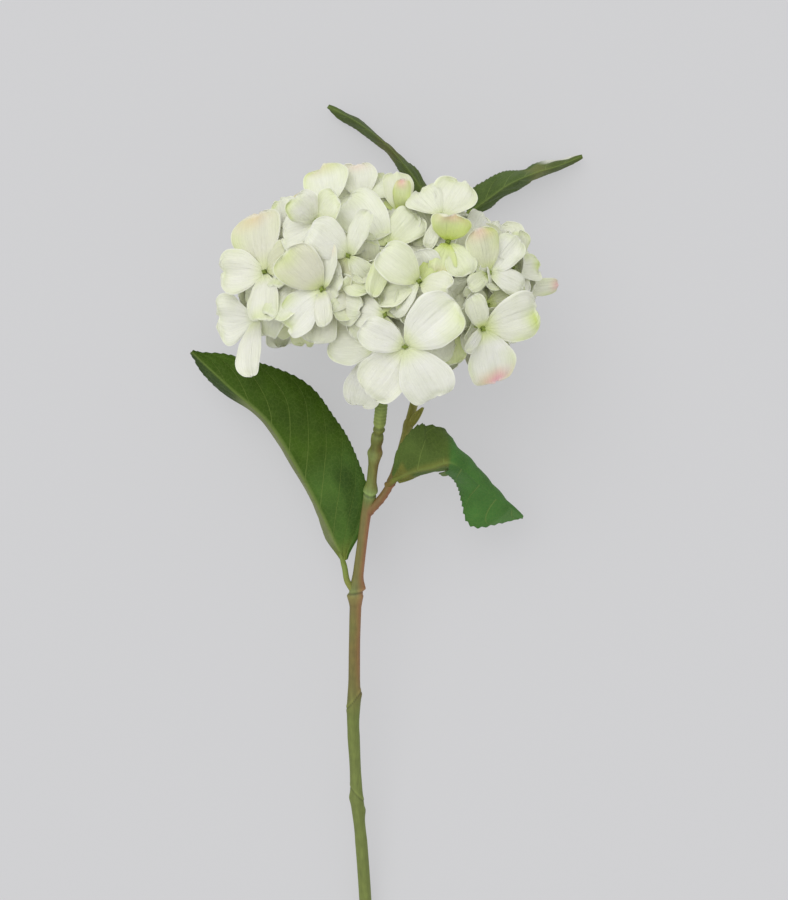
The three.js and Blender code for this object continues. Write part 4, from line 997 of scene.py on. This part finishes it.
def rod_shape(line, profile, grid, colours, warmth, relief, bow=(0, 1, 0)):
    """A stem along a line: its radius is read off a profile along y and carries a relief, its colour runs
    through stops along y, a warm red lies on its right side, and the relief's painted shade darkens or
    lightens it. Past a place the profile, relief and colours are read a little further on in front, so that
    what runs round the stem bows down there."""
    step, sides = grid
    _, _, length = smooth_line(line, [0])
    path, ahead, _ = smooth_line(line, np.linspace(0, 1, int(length / step) + 1))
    turn = round_turns(sides)[None]
    bow_start, bow_end, depth = bow
    y = path[:, 1:2] - depth * ease(path[:, 1:2], bow_start, bow_end) * np.sin(turn)
    places, radii = np.array(profile).T
    height, shade = relief(y, turn)
    radius = np.interp(y, places, radii) + height
    stops = np.array([place for place, _ in colours])
    tones = np.array([screen(*tone) for _, tone in colours])
    colour = np.stack([np.interp(y, stops, tones[:, c]) for c in range(3)], -1)
    reddened = (np.interp(y, *np.array(warmth).T) * ease(np.cos(turn - 0.3), -0.6, 1))[..., None]
    colour = (colour * (1 - reddened) + screen(*WARM_RED) * reddened) * shade[..., None]
    return tube(path, ahead, radius, np.array([1.0, 0, 0]), paint_of(colour))


def stem_relief(y, turn):
    """Relief and painted shade of the stem: fine rings under the head, bumps at the nodes, shallow ridges
    lengthwise, and the edges of sheaths, each a groove painted dark as shade with a lip above it painted
    pale as a highlight. Rings and ridges are painted lighter on their crests."""
    rings = STEM_RINGS
    share = (y - rings["start"]) / (rings["end"] - rings["start"])
    wave = np.cos(2 * np.pi * rings["count"] * share) * ((share > 0) & (share < 1))
    height = rings["height"] * wave + 0.05 * np.cos(5 * turn + 0.03 * y) + 0.03 * np.cos(9 * turn + 1)
    shade = 1 + 0.1 * wave + 0.05 * np.cos(5 * turn + 0.03 * y)
    for place, angle, bump, down, up in STEM_BUMPS:
        away = np.abs((turn - np.radians(angle) + np.pi) % (2 * np.pi) - np.pi)
        slide = y - place
        height = height + bump * np.exp(-(away / 0.7) ** 2 - (slide / np.where(slide > 0, up, down)) ** 2)
    for left, right, marked in STEM_EDGES:
        off = y - (left + right) / 2 - (right - left) / 2 * np.cos(turn)
        groove, lip = np.exp(-(off / 0.45) ** 2), np.exp(-((off - 1.3) / 0.7) ** 2)
        height = height + marked * (0.14 * lip - 0.2 * groove)
        shade = shade * (1 - 0.42 * marked * groove + 0.3 * marked * lip)
    return height, shade


def shoot_relief(y, turn):
    """Relief and shade of the side shoot: short scales along its foot on its right, steep above and sloping
    below, and shallow ridges lengthwise."""
    step = (y / SCALE_STEP) % 1
    scales = step ** 3 * ease(np.cos(turn), 0, 1) * (1 - ease(y, 26, 34))
    return SCALE_HEIGHT * scales + 0.05 * np.cos(4 * turn), 1 - 0.25 * scales


def bract_shape():
    """The small pointed bract on the shoot: a sheet drawn smoothly through three rows of points."""
    rows, cols = BRACT_GRID
    u, w = np.linspace(0, 2, rows), np.linspace(0, 2, cols)

    def weights(x):
        """Shares of three even stations in a parabola through them."""
        return np.stack([(x - 1) * (x - 2) / 2, x * (2 - x), x * (x - 1) / 2], -1)

    points = np.einsum("ri,cj,ijk->rck", weights(u), weights(w), BRACT)
    places = np.stack(np.broadcast_arrays(w[None] / 2, u[:, None] / 2), -1)
    paint = np.broadcast_to(paint_of(screen(*BRACT_GREEN)), (rows, cols, 4))
    return blade(points, BRACT_THICKNESS / 2, BRACT_THICKNESS / 2, places, paint)


# Pieces

def flower_head(bark):
    """Petals of the front, back and inner florets, eyes of the outer ones, and stalks with the core."""
    outer, inner = outer_florets(), inner_florets()
    set_petals(outer)
    petals = {kind: [] for kind in PETAL_GRIDS}
    for floret in outer + inner:
        for k, bend in enumerate(floret.get("bends", [0] * 4)):
            if bend is not None:
                petals[floret["kind"]].append(petal_shape(floret, k, bend))
    finish = petal_finish()
    for kind in ("front", "behind", "inner"):
        shapes = petals[kind] + (petals["resting"] if kind == "behind" else [])
        mesh_piece("florets_" + kind, shapes, finish, ["flower_head"])
    eyes = [eye_shape(floret) for floret in outer if floret["kind"] != "resting"]
    mesh_piece("floret_eyes", eyes, bark_finish("eye", 0.6), ["flower_head"])
    stalks = [flower_stalk(floret) for floret in outer + inner]
    mesh_piece("flower_stalks", [core_shape()] + stalks, bark, ["flower_head"])


def stem_and_shoot(bark):
    """The main stem, greener at its foot and under the head and reddish between; the side shoot, reddish at
    its foot and yellow-olive further on; and the bract."""
    stem = rod_shape(STEM_LINE, STEM_PROFILE, STEM_GRID, STEM_COLOURS, STEM_WARMTH, stem_relief, STEM_BOW)
    shoot = rod_shape(SHOOT_LINE, SHOOT_PROFILE, SHOOT_GRID, SHOOT_COLOURS, SHOOT_WARMTH, shoot_relief)
    mesh_piece("stem_and_shoot", [stem, shoot, bract_shape()], bark, ["stem"])


def leaves():
    """Each leaf's blade with its stalk."""
    for name, leaf in LEAVES.items():
        shapes = [leaf_shape(leaf), leaf_stalk(leaf)]
        mesh_piece(name + "_blade", shapes, leaf_finish(name + "_green", leaf), [name])


# Table, light and camera

def table_top():
    """A plain pale table top that glows a little, as a light table does."""
    f = Finish("table_top", base_color=screen(122, 122, 122), roughness=0.9, specular_ior_level=0.1,
               emission_color=(0.98, 0.98, 1.0), emission_strength=0.45)
    mesh = bpy.data.meshes.new("table_top")
    corners = [(x * TABLE_REACH, y * TABLE_REACH, 0) for x, y in ((-1, -1), (1, -1), (1, 1), (-1, 1))]
    mesh.from_pydata(corners, [], [(0, 1, 2, 3)])
    mesh.materials.append(f.material)
    top = scene_object("table_top", mesh)
    top.location.z = TABLE_LEVEL


def lights():
    """An even pale surround and one broad soft lamp from above the head."""
    world = bpy.data.worlds.new("surround")
    world.use_nodes = True
    surround = world.node_tree.nodes["Background"].inputs
    surround["Color"].default_value = (*screen(214, 214, 217), 1)
    surround["Strength"].default_value = 1.0
    bpy.context.scene.world = world
    lamp = bpy.data.lights.new("soft_lamp", "SUN")
    lamp.energy = LAMP_STRENGTH
    lamp.angle = LAMP_ANGLE
    scene_object("soft_lamp", lamp).rotation_euler = Vector(LAMP_FROM).to_track_quat("Z", "Y").to_euler()


def camera():
    """Straight above the flower, with the stem upright in the picture."""
    lens = bpy.data.cameras.new("camera")
    lens.lens = LENS_LENGTH
    lens.sensor_width = SENSOR_WIDTH
    seen = scene_object("camera", lens)
    seen.location = CAMERA_PLACE
    bpy.context.scene.camera = seen


stem_bark = bark_finish("bark")
flower_head(stem_bark)
stem_and_shoot(stem_bark)
leaves()
camera()
lights()
table_top()
bpy.context.scene.view_settings.view_transform = "Standard"
